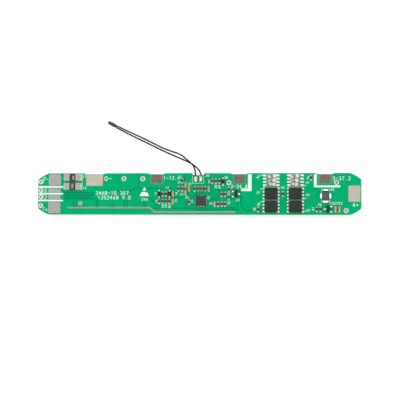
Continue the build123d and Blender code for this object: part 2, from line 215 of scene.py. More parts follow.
@dataclass
class Shape:
    """A mesh in the making: its vertices in millimetres, its quads and its many-sided caps."""

    points: Array
    quads: Array
    caps: list[Array] = field(default_factory=list)

    @classmethod
    def grid(cls, points: Array, around: bool = False, along: bool = False) -> "Shape":
        """A surface through a grid of points.

        Args:
            points: An array of rows, columns and three coordinates.
            around: Whether the last column joins the first.
            along: Whether the last row joins the first.

        Returns:
            The surface. Each quad goes along its row first and then to the next row.
        """
        rows, columns = points.shape[:2]
        index = np.arange(rows * columns).reshape(rows, columns)
        if around:
            index = np.concatenate([index, index[:, :1]], axis=1)
        if along:
            index = np.concatenate([index, index[:1]], axis=0)
        quads = np.stack([index[:-1, :-1], index[:-1, 1:], index[1:, 1:], index[1:, :-1]], axis=-1)
        return cls(points.reshape(-1, 3), quads.reshape(-1, 4))

    @classmethod
    def turned(cls, points: Array) -> "Shape":
        """A closed body from rings of points: a cap at its first ring and one at its last.

        Args:
            points: An array of rings, points in a ring and three coordinates.

        Returns:
            The closed body.
        """
        shape = cls.grid(points, around=True)
        rows, columns = points.shape[:2]
        first = np.arange(columns)[::-1]
        return cls(shape.points, shape.quads, [first, np.arange(columns) + (rows - 1) * columns])

    @classmethod
    def joined(cls, shapes: Iterable["Shape"]) -> "Shape":
        """Joins several shapes.

        Args:
            shapes: The shapes, in the order that their vertices take.

        Returns:
            All of them as one.
        """
        points, quads, caps, start = [], [], [], 0
        for shape in shapes:
            points.append(shape.points)
            quads.append(shape.quads + start)
            caps.extend(cap + start for cap in shape.caps)
            start += len(shape.points)
        return cls(np.concatenate(points), np.concatenate(quads), caps)

    def moved(self, x: float = 0, y: float = 0, z: float = 0, turn: float = 0) -> "Shape":
        """The shape turned about Z and then moved.

        Args:
            x: How far it moves along X.
            y: How far it moves along Y.
            z: How far it moves up.
            turn: How far it turns, in degrees.

        Returns:
            The shape in its new place.
        """
        angle = math.radians(turn)
        spin = np.array([[math.cos(angle), -math.sin(angle), 0],
                         [math.sin(angle), math.cos(angle), 0], [0, 0, 1]])
        return Shape(self.points @ spin.T + (x, y, z), self.quads, self.caps)

    def piece(self, name: str, slot: str, stands_for: str = "", finish: "Finish | None" = None,
              smooth_below: float = 60, **shades: Array) -> bpy.types.Object:
        """Makes the shape a piece of the object.

        Args:
            name: The piece's name.
            slot: The record's material slot whose finish it takes, where no finish is given.
            stands_for: The frame's node that it is seen in place of, if any.
            finish: Its finish, where it isn't the slot's own.
            smooth_below: Edges that turn by more than these degrees stay sharp.
            shades: Values from 0 to 1, one for each vertex, by attribute name.

        Returns:
            The new object, which rides on the body.
        """
        mesh = bpy.data.meshes.new(name)
        loops = np.concatenate([self.quads.reshape(-1), *self.caps]).astype(np.int32)
        totals = np.array([4] * len(self.quads) + [len(cap) for cap in self.caps], dtype=np.int32)
        mesh.vertices.add(len(self.points))
        mesh.vertices.foreach_set("co", metres(self.points).ravel().astype(np.float32))
        mesh.loops.add(len(loops))
        mesh.loops.foreach_set("vertex_index", loops)
        mesh.polygons.add(len(totals))
        mesh.polygons.foreach_set("loop_start", np.cumsum(totals, dtype=np.int32) - totals)
        mesh.polygons.foreach_set("loop_total", totals)
        mesh.update(calc_edges=True)
        mesh.validate()
        for shade, values in shades.items():
            layer = mesh.attributes.new(shade, "FLOAT", "POINT")
            layer.data.foreach_set("value", np.asarray(values, dtype=np.float32).ravel())
        mesh.shade_smooth()
        mesh.set_sharp_from_angle(angle=math.radians(smooth_below))
        mesh.materials.append((finish or Finishes.of(slot)).material())
        piece = placed(name, mesh)
        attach(piece, BODY)
        if stands_for:
            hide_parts(stands_for)
        LOG.info("%s: %d faces", name, len(mesh.polygons))
        return piece


def rounded_ring(sides: int, squareness: float) -> Array:
    """The outline of a rounded square from -1 to 1.

    A superellipse: the powers of both offsets add up to one, and the higher the power, the
    squarer the outline.

    Args:
        sides: How many points go round.
        squareness: The power.

    Returns:
        An array of points with two coordinates.
    """
    across, up = np.cos(round_turn(sides)), np.sin(round_turn(sides))
    reach = (np.abs(across) ** squareness + np.abs(up) ** squareness) ** (-1 / squareness)
    return np.stack([reach * across, reach * up], axis=1)


def mound(half_length: float, half_width: float, height: Callable[[Array, Array, Array], Array],
          sides: int = 20, rings: int = 6, squareness: float = 5) -> Shape:
    """A low closed body on a rounded rectangle, such as solder on its land.

    Rings shrink from the outline to the middle, and each point's height is a function of its
    two offsets, each over its half size, and of its share of the way out.

    Args:
        half_length: Half of the size along X.
        half_width: Half of the size along Y.
        height: Gives the heights, in millimetres.
        sides: How many points go round.
        rings: How many rings go in.
        squareness: How square the outline is.

    Returns:
        The closed body, which stands at height zero.
    """
    shares = np.sin(np.linspace(1, INNERMOST, rings) * math.pi / 2)
    offsets = shares[:, None, None] * rounded_ring(sides, squareness)
    u, v = offsets[..., 0], offsets[..., 1]
    heights = height(u, v, np.broadcast_to(shares[:, None], u.shape))
    points = np.dstack([u * half_length, v * half_width, heights])
    foot = points[:1].copy()
    foot[..., 2] = 0
    return Shape.turned(np.concatenate([foot, points]))


def slab(low: Sequence[float], high: Sequence[float], corner: float = 0.0) -> Shape:
    """A flat block with rounded upright edges.

    Args:
        low: Its lowest corner.
        high: Its highest corner.
        corner: The radius of its upright edges.

    Returns:
        The block in its place.
    """
    low, high = np.asarray(low, float), np.asarray(high, float)
    half = (high - low)[:2] / 2
    steps = np.radians(np.linspace(0, 90, CORNER_POINTS)) if corner else np.zeros(1)
    inner = half - corner
    ring = np.concatenate([
        np.stack([sx * inner[0] + corner * np.cos(steps + start),
                  sy * inner[1] + corner * np.sin(steps + start)], axis=1)
        for sx, sy, start in ((1, 1, 0), (-1, 1, math.pi / 2), (-1, -1, math.pi),
                              (1, -1, 1.5 * math.pi))])
    return prism(ring + (low + high)[:2] / 2, low[2], high[2])


def sideways(line: Array, closed: bool = False) -> Array:
    """At each point of a path, the mitred step to its left for a half width of one.

    It runs along the middle of the two neighbours' normals, over the cosine of half the turn.

    Args:
        line: The path's points, with two coordinates.
        closed: Whether the path joins its own start.

    Returns:
        The steps, one for each point.
    """
    before, after = np.roll(line, 1, axis=0), np.roll(line, -1, axis=0)
    if not closed:
        before[0] = 2 * line[0] - line[1]
        after[-1] = 2 * line[-1] - line[-2]
    run_in, run_out = line - before, after - line
    run_in /= np.linalg.norm(run_in, axis=1)[:, None]
    run_out /= np.linalg.norm(run_out, axis=1)[:, None]
    normal = np.stack([-(run_in + run_out)[:, 1], (run_in + run_out)[:, 0]], axis=1)
    normal /= np.maximum(np.linalg.norm(normal, axis=1), TINY)[:, None]
    lean = np.sum(normal * np.stack([-run_in[:, 1], run_in[:, 0]], axis=1), axis=1)
    return normal / np.maximum(lean, 0.5)[:, None]


def ribbon(line: Any, width: float, base: float, top: float, closed: bool = False) -> Shape:
    """A flat printed line: a thin rectangle carried along a path, with mitred corners.

    Args:
        line: The path's points, with two coordinates.
        width: The line's width.
        base: The height of the surface under it.
        top: The height of the ink's face.
        closed: Whether the path joins its own start.

    Returns:
        The closed body.
    """
    line = np.asarray(line, float)
    side = sideways(line, closed) * width / 2
    corners = [at_height(line + sign * side, level)
               for sign, level in ((1, base), (1, top), (-1, top), (-1, base))]
    points = np.stack(corners, axis=1)
    if closed:
        return Shape.grid(points, around=True, along=True)
    return Shape.turned(points)


def prism(outline: Any, base: float, top: float) -> Shape:
    """A flat body on an outline that runs anticlockwise."""
    outline = np.asarray(outline, float)
    return Shape.turned(np.stack([at_height(outline, level) for level in (base, top)]))


def pad(half_length: float, half_width: float, height: Callable[[Array, Array], Array],
        columns: int = 24, rows: int = 24, corner: float = 0.0) -> Shape:
    """A closed block whose upper face is a surface over a grid.

    The grid is closer towards its edges, as the sine of an even run. The corners are drawn in
    by a high power of the offset along the other axis.

    Args:
        half_length: Half of the size along X.
        half_width: Half of the size along Y.
        height: Gives the heights from the two offsets, in millimetres.
        columns: How many points lie along X.
        rows: How many points lie along Y.
        corner: How far each corner is drawn in.

    Returns:
        The closed block, which stands at height zero.
    """
    along = np.sin(np.linspace(-1, 1, columns) * math.pi / 2)
    across = np.sin(np.linspace(-1, 1, rows) * math.pi / 2)
    u, v = np.meshgrid(along, across)
    x = u * (half_length - corner * np.abs(v) ** CORNER_POWER)
    y = v * (half_width - corner * np.abs(u) ** CORNER_POWER)
    face = Shape.grid(np.dstack([x, y, height(x, y)]))
    index = np.arange(rows * columns).reshape(rows, columns)
    outline = np.concatenate([index[0, :-1], index[:-1, -1], index[-1, :0:-1], index[:0:-1, 0]])
    foot = face.points[outline] * (1, 1, 0)
    lower = np.arange(len(outline)) + len(face.points)
    walls = np.stack([lower, np.roll(lower, -1), np.roll(outline, -1), outline], axis=1)
    return Shape(np.concatenate([face.points, foot]), np.concatenate([face.quads, walls]),
                 [lower[::-1]])


def add_node(tree: Tree, kind: str, inputs: Mapping[Any, Any] | None = None,
             **settings: Any) -> bpy.types.Node:
    """Adds a shader node with its settings, values and links.

    Args:
        tree: The material's or world's node tree.
        kind: The node's type.
        inputs: By input name or number, a value, or an output socket to link.
        settings: The node's own properties.

    Returns:
        The new node.
    """
    node = tree.nodes.new(kind)
    for name, value in settings.items():
        setattr(node, name, value)
    for key, value in (inputs or {}).items():
        if isinstance(value, Socket):
            tree.links.new(value, node.inputs[key])
        else:
            node.inputs[key].default_value = value
    return node


def mixed(tree: Tree, share: Any, first: Any, second: Any) -> Socket:
    """Mixes two colours.

    Args:
        tree: The material's node tree.
        share: The second colour's share, as a value or a socket.
        first: A hex code or a socket.
        second: A hex code or a socket.

    Returns:
        The mix's output.
    """
    tones = [linear(tone) if isinstance(tone, str) else tone for tone in (first, second)]
    mix = add_node(tree, "ShaderNodeMix", {0: share, 6: tones[0], 7: tones[1]}, data_type="RGBA")
    return mix.outputs[2]


def spread(tree: Tree, value: Socket, low: float, high: float, to_low: float = 0.0,
           to_high: float = 1.0) -> Socket:
    """Stretches a value from one range to another, clamped.

    Args:
        tree: The material's or world's node tree.
        value: The value's socket.
        low: The value that becomes to_low.
        high: The value that becomes to_high.
        to_low: The new range's start.
        to_high: The new range's end.

    Returns:
        The stretched value's output.
    """
    return add_node(tree, "ShaderNodeMapRange",
                    {"Value": value, "From Min": low, "From Max": high, "To Min": to_low,
                     "To Max": to_high}).outputs["Result"]


def noise(tree: Tree, size: float, detail: float) -> Socket:
    """A cloud pattern on the object's coordinates.

    Args:
        tree: The material's node tree.
        size: The clouds' size in millimetres.
        detail: How many finer layers are added.

    Returns:
        The pattern's output, about 0.5 in the middle.
    """
    place = add_node(tree, "ShaderNodeTexCoord").outputs["Object"]
    return add_node(tree, "ShaderNodeTexNoise", {"Vector": place, "Scale": 1 / (size * MM),
                                                 "Detail": detail}).outputs["Fac"]


def marked(tree: Tree, name: str) -> Socket:
    """How far each place is marked, from 0 to 1, by an attribute of the mesh."""
    return add_node(tree, "ShaderNodeAttribute", attribute_name=name).outputs["Fac"]


@dataclass(frozen=True)
class Finish:
    """A finish: its colours, how it shines and how its surface varies. Sizes are millimetres.

    The two tones lie in soft patches, the sharper the lower the contrast's number. The rim's
    colour shows where a mesh's attribute "rim" marks it. The grain and the relief are the size
    and the depth of the fine bumps. The roughness changes by a share over its own patches.
    """

    name: str
    colour: str
    other: str
    patch: float = 1.0
    roughness: float = 0.4
    metallic: float = 0.0
    specular: float = 0.5
    grain: float = 0.1
    relief: float = 0.01
    coat: float = 0.0
    contrast: float = 0.12
    detail: float = 3.0
    shine_patch: float = 0.7
    shine_span: Pair = (0.3, 0.7)
    shine_change: float = 0.15
    coat_roughness: float = 0.08
    rim: str = ""
    glow: float = 0.0

    def material(self) -> bpy.types.Material:
        """Makes the finish's material, once.

        Returns:
            The material.
        """
        made = bpy.data.materials.get(self.name)
        if made is None:
            made = bpy.data.materials.new(self.name)
            made.use_nodes = True
            made.node_tree.nodes.clear()
            self.build(made.node_tree)
        return made

    def tint(self, tree: Tree) -> Socket:
        """The colour: the two tones in soft patches, and the rim's where the shape marks one.

        Args:
            tree: The material's node tree.

        Returns:
            The colour's output.
        """
        cloud = noise(tree, self.patch, self.detail)
        share = spread(tree, cloud, 0.5 - self.contrast, 0.5 + self.contrast)
        base = mixed(tree, share, self.colour, self.other)
        if not self.rim:
            return base
        return mixed(tree, marked(tree, "rim"), base, self.rim)

    def surface(self, tree: Tree) -> Socket:
        """The fine relief of the surface.

        Args:
            tree: The material's node tree.

        Returns:
            The bumped normal's output.
        """
        cloud = noise(tree, self.grain, detail=3)
        bump = add_node(tree, "ShaderNodeBump",
                        {"Height": cloud, "Strength": 1.0, "Distance": self.relief * MM})
        return bump.outputs["Normal"]

    def build(self, tree: Tree) -> None:
        """Joins colour, shine and relief into the shader.

        Args:
            tree: The material's node tree.
        """
        shader = add_node(tree, "ShaderNodeBsdfPrincipled",
                          {"Base Color": self.tint(tree), "Metallic": self.metallic,
                           "Roughness": self.shine(tree), "Normal": self.surface(tree),
                           "Specular IOR Level": self.specular, "Coat Weight": self.coat,
                           "Coat Roughness": self.coat_roughness,
                           "Emission Color": WHITE, "Emission Strength": self.glow})
        add_node(tree, "ShaderNodeOutputMaterial", {"Surface": shader.outputs["BSDF"]})

    def shine(self, tree: Tree) -> Socket:
        """The roughness, a little uneven.

        Args:
            tree: The material's node tree.

        Returns:
            The roughness's output.
        """
        cloud = noise(tree, self.patch * self.shine_patch, detail=2)
        return spread(tree, cloud, *self.shine_span, self.roughness * (1 - self.shine_change),
                      self.roughness * (1 + self.shine_change))


@dataclass(frozen=True)
class SolderMask(Finish):
    """Liquid green solder mask over glass-epoxy laminate, screened on and cured.

    Over copper it is light and even. Where the copper is etched away the laminate shows darker
    through it. The board's cut edge shows the laminate's woven glass layers, between the film of
    mask on the lower face and the depth where the upper one's begins.
    """

    contrast: float = 0.15
    detail: float = 4.0
    bare: str = "02744f"
    edge: str = "4a9468"
    weft: str = "6aa878"
    layer: float = 0.2
    depth: float = 1.58
    film: float = 0.01

    def tint(self, tree: Tree) -> Socket:
        """Green over copper, darker over bare laminate, and the laminate at the cut edge.

        The laminate's layers follow a sine wave of the height.

        Args:
            tree: The material's node tree.

        Returns:
            The colour's output.
        """
        mask = mixed(tree, marked(tree, "etched"), super().tint(tree), self.bare)
        place = add_node(tree, "ShaderNodeTexCoord").outputs["Object"]
        height = add_node(tree, "ShaderNodeSeparateXYZ", {0: place}).outputs["Z"]
        wave = add_node(tree, "ShaderNodeMath", {0: height, 1: 2 * math.pi / (self.layer * MM)},
                        operation="MULTIPLY")
        weave = add_node(tree, "ShaderNodeMath", {0: wave.outputs[0]}, operation="SINE")
        laminate = mixed(tree, spread(tree, weave.outputs[0], -1, 1), self.edge, self.weft)
        above = spread(tree, height, self.depth * MM, (self.depth + self.film) * MM)
        below = spread(tree, height, self.film * MM, 2 * self.film * MM, 1, 0)
        masked = add_node(tree, "ShaderNodeMath", {0: above, 1: below}, operation="MAXIMUM")
        return mixed(tree, masked.outputs[0], laminate, mask)


@dataclass(frozen=True)
class Tin(Finish):
    """Tin or solder: soft bright metal, wetted and levelled, with a satin, rippled skin."""

    metallic: float = 1.0
    speckle: str = "8a7f7c"
    specks: float = 0.3
    speck_span: Pair = (0.56, 0.72)

    def tint(self, tree: Tree) -> Socket:
        """The two tones in patches, with specks of oxide over them."""
        speck = spread(tree, noise(tree, self.specks, detail=2), *self.speck_span)
        return mixed(tree, speck, super().tint(tree), self.speckle)


class Finishes(Enum):
    """The finishes by the record's slot, each from what the real one is made of."""

    # Green liquid mask: a satin, saturated, slightly uneven coat.
    SOLDER_MASK = SolderMask("green_solder_mask", "009f67", "009860", patch=2.5, roughness=0.4,
                             specular=0.03, grain=0.25, relief=0.002)
    # Hot-air levelled tin: pale grey metal with a faint pink cast and fine ripples.
    TIN = Tin("levelled_tin", "bbc1bd", "aba6a8", patch=0.55, roughness=0.42, grain=0.35,
              relief=0.012, speckle="ae8c93")
    # The same tin, thicker and smoother, with a warm cast and a pinkish edge.
    LAND_TIN_WARM = Tin("warm_tin", "cbc6b6", "c1baaa", patch=1.6, roughness=0.5, grain=0.5,
                        relief=0.004, speckle="bbaf9f", rim="cba9a4")
    # Bare copper under thin tin, oxidised brown-grey.
    LAND_TIN_DULL = Tin("dull_tin", "827f74", "6d685f", patch=0.8, roughness=0.5, grain=0.3,
                        relief=0.01, speckle="816a63", rim="a07c71")
    # Reflowed tin solder: bright and smooth.
    SOLDER = Tin("reflowed_solder", "fbfaf6", "efebe8", patch=0.5, roughness=0.26, grain=0.3,
                 relief=0.006, speckle="e2c4c4")
    # White epoxy legend ink, screen-printed thin, so that the green mask tints it a little.
    INK = Finish("white_legend_ink", "dae9e6", "cbdcd8", patch=0.5, roughness=0.6, grain=0.15,
                 relief=0.004)
    # Transfer-moulded epoxy compound filled with silica: charcoal with a fine matte grain.
    MOULDING = Finish("black_epoxy_moulding", "21221f", "2e302d", patch=0.9, roughness=0.55,
                      grain=0.12, relief=0.008, specular=0.2)
    # Stamped copper alloy lead frame, plated with matte tin.
    LEAD_FRAME = Tin("tinned_lead_frame", "f1eeea", "ddd8d4", patch=0.4, roughness=0.35,
                     grain=0.2, relief=0.004, speckle="d6b6b2")
    # Fired alumina: white, slightly cream and matte.
    ALUMINA = Finish("white_alumina", "e6e2da", "d6d0c8", patch=0.4, roughness=0.55, grain=0.08,
                     relief=0.003)
    # Glass glaze fired over the resistor's film: red-brown, with a sheen.
    RESISTOR_GLAZE = Finish("resistor_glaze", "9d756f", "7d5b56", patch=0.4, roughness=0.28,
                            grain=0.2, relief=0.002)
    # Sintered barium titanate: tan, with a waxy sheen.
    CAPACITOR_BODY = Finish("tan_capacitor_ceramic", "c79a6c", "b0875f", patch=0.5, roughness=0.4,
                            grain=0.1, relief=0.003)
    # Resistive alloy strip with thick tinned ends.
    SHUNT_METAL = Tin("shunt_tinned_alloy", "c4c8c0", "b0b0a9", patch=0.7, roughness=0.4,
                      grain=0.3, relief=0.01, speckle="a39489")
    # Black epoxy coat over the strip.
    SHUNT_COAT = Finish("shunt_epoxy_coat", "211d1b", "2d2825", patch=0.6, roughness=0.5,
                        grain=0.15, relief=0.006)
    # Liquid crystal polymer hood: slate grey and smooth, darker on its raised rim.
    FUSE_HOOD = Finish("fuse_polymer_hood", "4a4f50", "383d3e", patch=0.45, roughness=0.35,
                       grain=0.1, relief=0.003, rim="1d2123")
    # Extruded fluoropolymer sleeve: black, with a faint sheen.
    LEAD_SLEEVE = Finish("black_sleeve", "080807", "0e0e0d", patch=1.2, roughness=0.3, grain=0.3,
                         relief=0.004, specular=0.18)
    # Dipped epoxy: black, wet-looking, gathered by its own surface tension.
    BEAD_EPOXY = Finish("dipped_black_epoxy", "0e0e0e", "151514", patch=1.2, roughness=0.12,
                        grain=0.6, relief=0.006, coat=0.6)

    @classmethod
    def of(cls, slot: str) -> Finish:
        """The finish of a slot of the record."""
        return cls[slot.upper()].value


# The flooded track: old tin over copper, pinkish where it is thin.
RAIL_TIN = Tin("rail_tin", "a89da2", "8f9691", patch=1.4, roughness=0.4, grain=0.5, relief=0.01,
               speckle="b08a90")

# Plated rings: bright tin, with bare copper-pink plating down the bore.
RING_TIN = Tin("ring_tin", "eff1ec", "e4e1dc", patch=0.6, roughness=0.3, grain=0.4, relief=0.006,
               speckle="dcc5c0", rim="d8b6ab")

# Paste melted with no part in it: bright lumps, and dull pinkish tin in the hollows, partly the
# thin tin's own colour and partly painted shade between the lumps.
PASTE_TIN_SHADED_HOLLOWS = Tin("paste_tin_shaded_hollows", "ffffff", "f8f3ef", patch=0.6, roughness=0.3, grain=0.3,
                relief=0.008, speckle="d8c3be", rim="7d706c")

# Paste reflowed in a thin coat on copper, which tints it pink.
CHIP_SOLDER = Tin("thin_solder", "c6c6c1", "b2b0ab", patch=0.4, roughness=0.3, grain=0.3,
                  relief=0.006, speckle="b8938c")

# The leads' hand soldering: dull, and green round its foot, where flux and mask cover it.
HAND_SOLDER = Tin("hand_solder", "e6e9df", "d2cfc2", patch=0.7, roughness=0.35, grain=0.4,
                  relief=0.01, speckle="bfa894", rim="2c8a5e")

# The controller's sawn body: finer, bluish moulding compound.
SAWN_MOULDING = Finish("sawn_moulding", "2c3336", "363e41", patch=0.6, roughness=0.5, grain=0.1,
                       relief=0.005, specular=0.25)

# The shunt's bare copper-manganese strip: rolled, brown-grey, lightly oxidised.
BARE_ALLOY = Tin("bare_shunt_alloy", "b3a78f", "948a78", patch=0.5, roughness=0.45, grain=0.25,
                 relief=0.006, speckle="6f675d")


@dataclass
class Studio:
    """The floor, the light and the camera.

    The sky is brighter low down, and its span is of the rise from the horizon to overhead. Each
    lamp is given by its place in lamp distances and its power in watts.
    """

    floor_side: float = 6000.0
    floor_drop: float = 0.9
    table_glow: float = 0.15
    camera_place: Triple = (46.9, -61.6, 493.2)
    camera_aim: Triple = (0.72, -2.24, 0.0)
    image_turn: float = 0.67
    focal_pixels: float = 1292.5
    sensor_width: float = 36.0
    seen_metres: Pair = (0.01, 20)
    sky_span: Pair = (0.6, 0.97)
    sky_low: float = 1.3
    sky_high: float = 0.72
    lamps: tuple[Triple, ...] = (
        (-1, 0.15, 0.75), (1, 0.15, 0.6), (0.1, 1, 0.8), (-0.1, -1, 0.6))
    lamp_distance: float = 620.0
    lamp_height: float = 430.0
    lamp_side: float = 460.0

    def floor(self) -> None:
        """A faintly backlit white table, a little below the board so that light gets under it."""
        half = self.floor_side / 2
        shape = Shape.grid(np.array([[(x, y, -self.floor_drop) for x in (-half, half)]
                                     for y in (-half, half)]))
        mesh = bpy.data.meshes.new("floor")
        mesh.from_pydata(metres(shape.points).tolist(), [], shape.quads.tolist())
        paint = Finish("matt_white_floor", "ffffff", "fdfdfd", patch=60, roughness=0.9,
                       specular=0.1, grain=3, relief=0.002, glow=self.table_glow)
        mesh.materials.append(paint.material())
        placed("floor", mesh)

    def light(self) -> None:
        """An even pale surround and a soft square lamp on each side."""
        world = bpy.data.worlds.new("studio")
        world.use_nodes = True
        tree = world.node_tree
        tree.nodes.clear()
        way = add_node(tree, "ShaderNodeTexCoord").outputs["Generated"]
        rise = add_node(tree, "ShaderNodeSeparateXYZ", {0: way}).outputs["Z"]
        strength = spread(tree, rise, *self.sky_span, self.sky_low, self.sky_high)
        back = add_node(tree, "ShaderNodeBackground", {"Color": WHITE, "Strength": strength})
        add_node(tree, "ShaderNodeOutputWorld", {"Surface": back.outputs[0]})
        bpy.context.scene.world = world
        for number, (x, y, power) in enumerate(self.lamps, start=1):
            data = bpy.data.lights.new("lamp_%d" % number, "AREA")
            data.shape = "SQUARE"
            data.size = self.lamp_side * MM
            data.energy = power
            lamp = placed(data.name, data)
            place = Vector((x * self.lamp_distance, y * self.lamp_distance, self.lamp_height))
            lamp.location = place * MM
            lamp.rotation_euler = place.to_track_quat("Z", "Y").to_euler()

    def camera(self) -> None:
        """The camera of the photograph: almost overhead, a little to the right and nearer."""
        data = bpy.data.cameras.new("camera")
        data.sensor_width = self.sensor_width
        data.lens = self.focal_pixels / PHOTO_WIDTH * self.sensor_width
        data.clip_start, data.clip_end = self.seen_metres
        place, aim = Vector(self.camera_place), Vector(self.camera_aim)
        back = (place - aim).normalized()
        turn = math.radians(self.image_turn)
        right = Vector((-math.sin(turn), math.cos(turn), 0)).cross(back).normalized()
        basis = Matrix((right, back.cross(right), back)).transposed()
        camera = placed("camera", data)
        camera.matrix_world = Matrix.Translation(place * MM) @ basis.to_4x4()
        bpy.context.scene.camera = camera
        bpy.context.scene.view_settings.view_transform = "Standard"

    def build(self) -> None:
        """Sets up the whole studio."""
        self.camera()
        self.floor()
        self.light()
        LOG.info("studio ready")


@dataclass
class Thermistor:
    """The thermistor: its two insulated leads, the solder at their ends and the bead.

    The bead's neck and waist are shares of its radius, and its nose a share of its length. Each
    blob of solder has its peak off its land's middle, falls from it by a bell curve that is
    narrower along X, and is rippled by two crossed waves.
    """

    lead_diameter: float = 0.6
    lead_lengths: Pair = (38.9, 39.5)
    bead_radius: float = 0.78
    bead_length: float = 4.2
    bead_margin: float = 0.6
    bead_sides: int = 32
    bead_rings: tuple[int, int] = (12, 14)
    bead_nose: float = 0.25
    nose_span: Pair = (0.12, 0.995)
    nose_power: float = 1.6
    bead_neck: float = 0.66
    neck_length: float = 1.5
    bead_waist: float = 0.05
    waist_span: Pair = (1.6, 3.2)
    bead_ripple: float = 0.02
    bead_paces: Pair = (3, 2.1)
    bead_height: float = 0.98
    stub_radius: float = 0.16
    stub_sides: int = 10
    stub_foot: float = 0.45
    blob_sides: int = 36
    blob_rings: int = 12
    blob_edge: float = 0.1
    blob_falls: Pair = (1.9, 1.5)
    blob_ripple: float = 0.035
    ripple_paces: Pair = (5.1, 4.3)
    ripple_start: float = 2.3
    blob_foot: float = 0.94
    foot_power: float = 7
    flux_span: Pair = (0.86, 1.06)
    wetted: Pair = (0.76, 1.02)
    blob_peaks: Line = ((-0.1, -0.2), (0.08, -0.12))
    routes: tuple[tuple[Triple, ...], ...] = (
        ((-0.98, 6.75, 2.25), (-0.93, 7.75, 2.58), (-1.02, 8.8, 2.45), (-1.4, 9.95, 1.85),
         (-2.12, 11.25, 1.15), (-3.3, 12.5, 0.62), (-4.65, 13.55, 0.34), (-5.95, 14.75, 0.3),
         (-7.6, 15.8, 0.3), (-10.4, 16.7, 0.3), (-14.2, 18.1, 0.3), (-19.0, 20.6, 0.3),
         (-24.2, 23.1, 0.3), (-27.9, 24.75, 0.42), (-30.48, 25.94, 0.8), (-31.8, 26.66, 0.8)),
        ((1.31, 6.9, 2.25), (1.05, 7.9, 2.62), (0.45, 9.05, 2.72), (-0.55, 10.15, 2.4),
         (-1.95, 11.3, 1.95), (-3.75, 12.35, 1.45), (-5.9, 13.4, 0.85), (-8.3, 14.45, 0.42),
         (-11.3, 15.8, 0.3), (-15.5, 17.7, 0.3), (-20.3, 20.15, 0.3), (-25.2, 22.45, 0.3),
         (-28.6, 24.2, 0.5), (-30.816, 25.324, 0.8), (-32.136, 26.044, 0.8)),
    )

    def lead(self, number: int, route: Sequence[Sequence[float]], bead: bpy.types.Object) -> None:
        """One insulated lead, on a smooth spline with the route's points.

        Args:
            number: 1 or 2.
            route: The control points.
            bead: The bead at its end; not used.
        """
        name = "thermistor_sleeve_%d" % number
        curve = bpy.data.curves.new(name, "CURVE")
        curve.dimensions = "3D"
        curve.bevel_depth = self.lead_diameter / 2 * MM
        curve.bevel_resolution = 5
        curve.resolution_u = 10
        curve.use_fill_caps = True
        spline = curve.splines.new("NURBS")
        spline.points.add(len(route) - 1)
        for point, place in zip(spline.points, metres(route)):
            point.co = (*place, 1)
        spline.order_u = 3
        spline.use_endpoint_u = True
        curve.materials.append(Finishes.of("lead_sleeve").material())
        lead = placed(name, curve)
        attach(lead, BODY)
        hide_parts("thermistor_lead_%d" % number)
        metres(route[0])
        LOG.info("%s: %.1f mm", name, self.lead_lengths[number - 1])

    def bead(self) -> bpy.types.Object:
        """The dipped bead: a drop that swells from the leads and rounds off at its tip.

        The radius follows the square root of the distance from the tip, over a length of one
        radius, and narrows again by a smooth step towards the leads.

        Returns:
            The bead.
        """
        ends = np.array([route[-1] for route in self.routes])
        rear = ends.mean(axis=0)
        way = ends[0] - np.array(self.routes[0][-2])
        way /= np.linalg.norm(way)
        across = np.array([-way[1], way[0], 0.0])
        diagonal = float(np.hypot(*Box.of("thermistor_bead").size[:2]))
        reach = min(self.bead_length, diagonal - self.bead_margin)
        body_rings, nose_rings = self.bead_rings
        body = np.linspace(0, 1 - self.bead_nose, body_rings)
        short = (1 - np.linspace(*self.nose_span, nose_rings)) ** self.nose_power
        along = np.concatenate([body, 1 - self.bead_nose * short]) * reach
        swell = (self.bead_neck + (1 - self.bead_neck) * smoothstep(0.0, self.neck_length, along)
                 - self.bead_waist * smoothstep(*self.waist_span, along))
        left = np.clip((reach - along) / self.bead_radius, 0, 1)
        radius = self.bead_radius * swell * np.sqrt(1 - (1 - left) ** 2)
        turn = round_turn(self.bead_sides)
        pace_round, pace_along = self.bead_paces
        ripple = 1 + self.bead_ripple * np.sin(pace_round * turn + pace_along * along[:, None])
        side = across * (radius[:, None] * ripple * np.cos(turn))[..., None]
        rise = UP * (radius[:, None] * ripple * np.sin(turn))[..., None] * self.bead_height
        shape = Shape.turned(rear + way * along[:, None, None] + side + rise)
        return shape.piece("thermistor_drop", "bead_epoxy", "thermistor_bead")

    def blob(self, number: int) -> None:
        """The solder that holds a lead: a peaked mound over its land, with the bare stub in it.

        Args:
            number: 1 or 2.
        """
        node = "thermistor_joint_%d" % number
        land = solids_of("thermistor_lands")[number - 1]
        solder = Box.of(node)
        half = land.size[:2] / 2
        top = solder.high[2] - land.low[2]
        peak_x, peak_y = self.blob_peaks[number - 1]
        fall_x, fall_y = self.blob_falls
        pace_x, pace_y = self.ripple_paces
        tip = np.array(self.routes[number - 1][0])

        def height(x: Array, y: Array, share: Array) -> Array:
            """A rise towards the peak by a bell curve, rounded down by a power at the foot.

            Args:
                x: The offsets along X over the half size.
                y: The offsets along Y over the half size.
                share: The shares of the way out.

            Returns:
                The heights.
            """
            bell = np.exp(-((x - peak_x) ** 2 * fall_x + (y - peak_y) ** 2 * fall_y))
            wave = np.sin(pace_x * x + self.ripple_start) * np.cos(pace_y * y)
            full = self.blob_edge + (top - self.blob_edge) * bell + self.blob_ripple * wave
            return full * np.sqrt(1 - self.blob_foot * share ** self.foot_power)

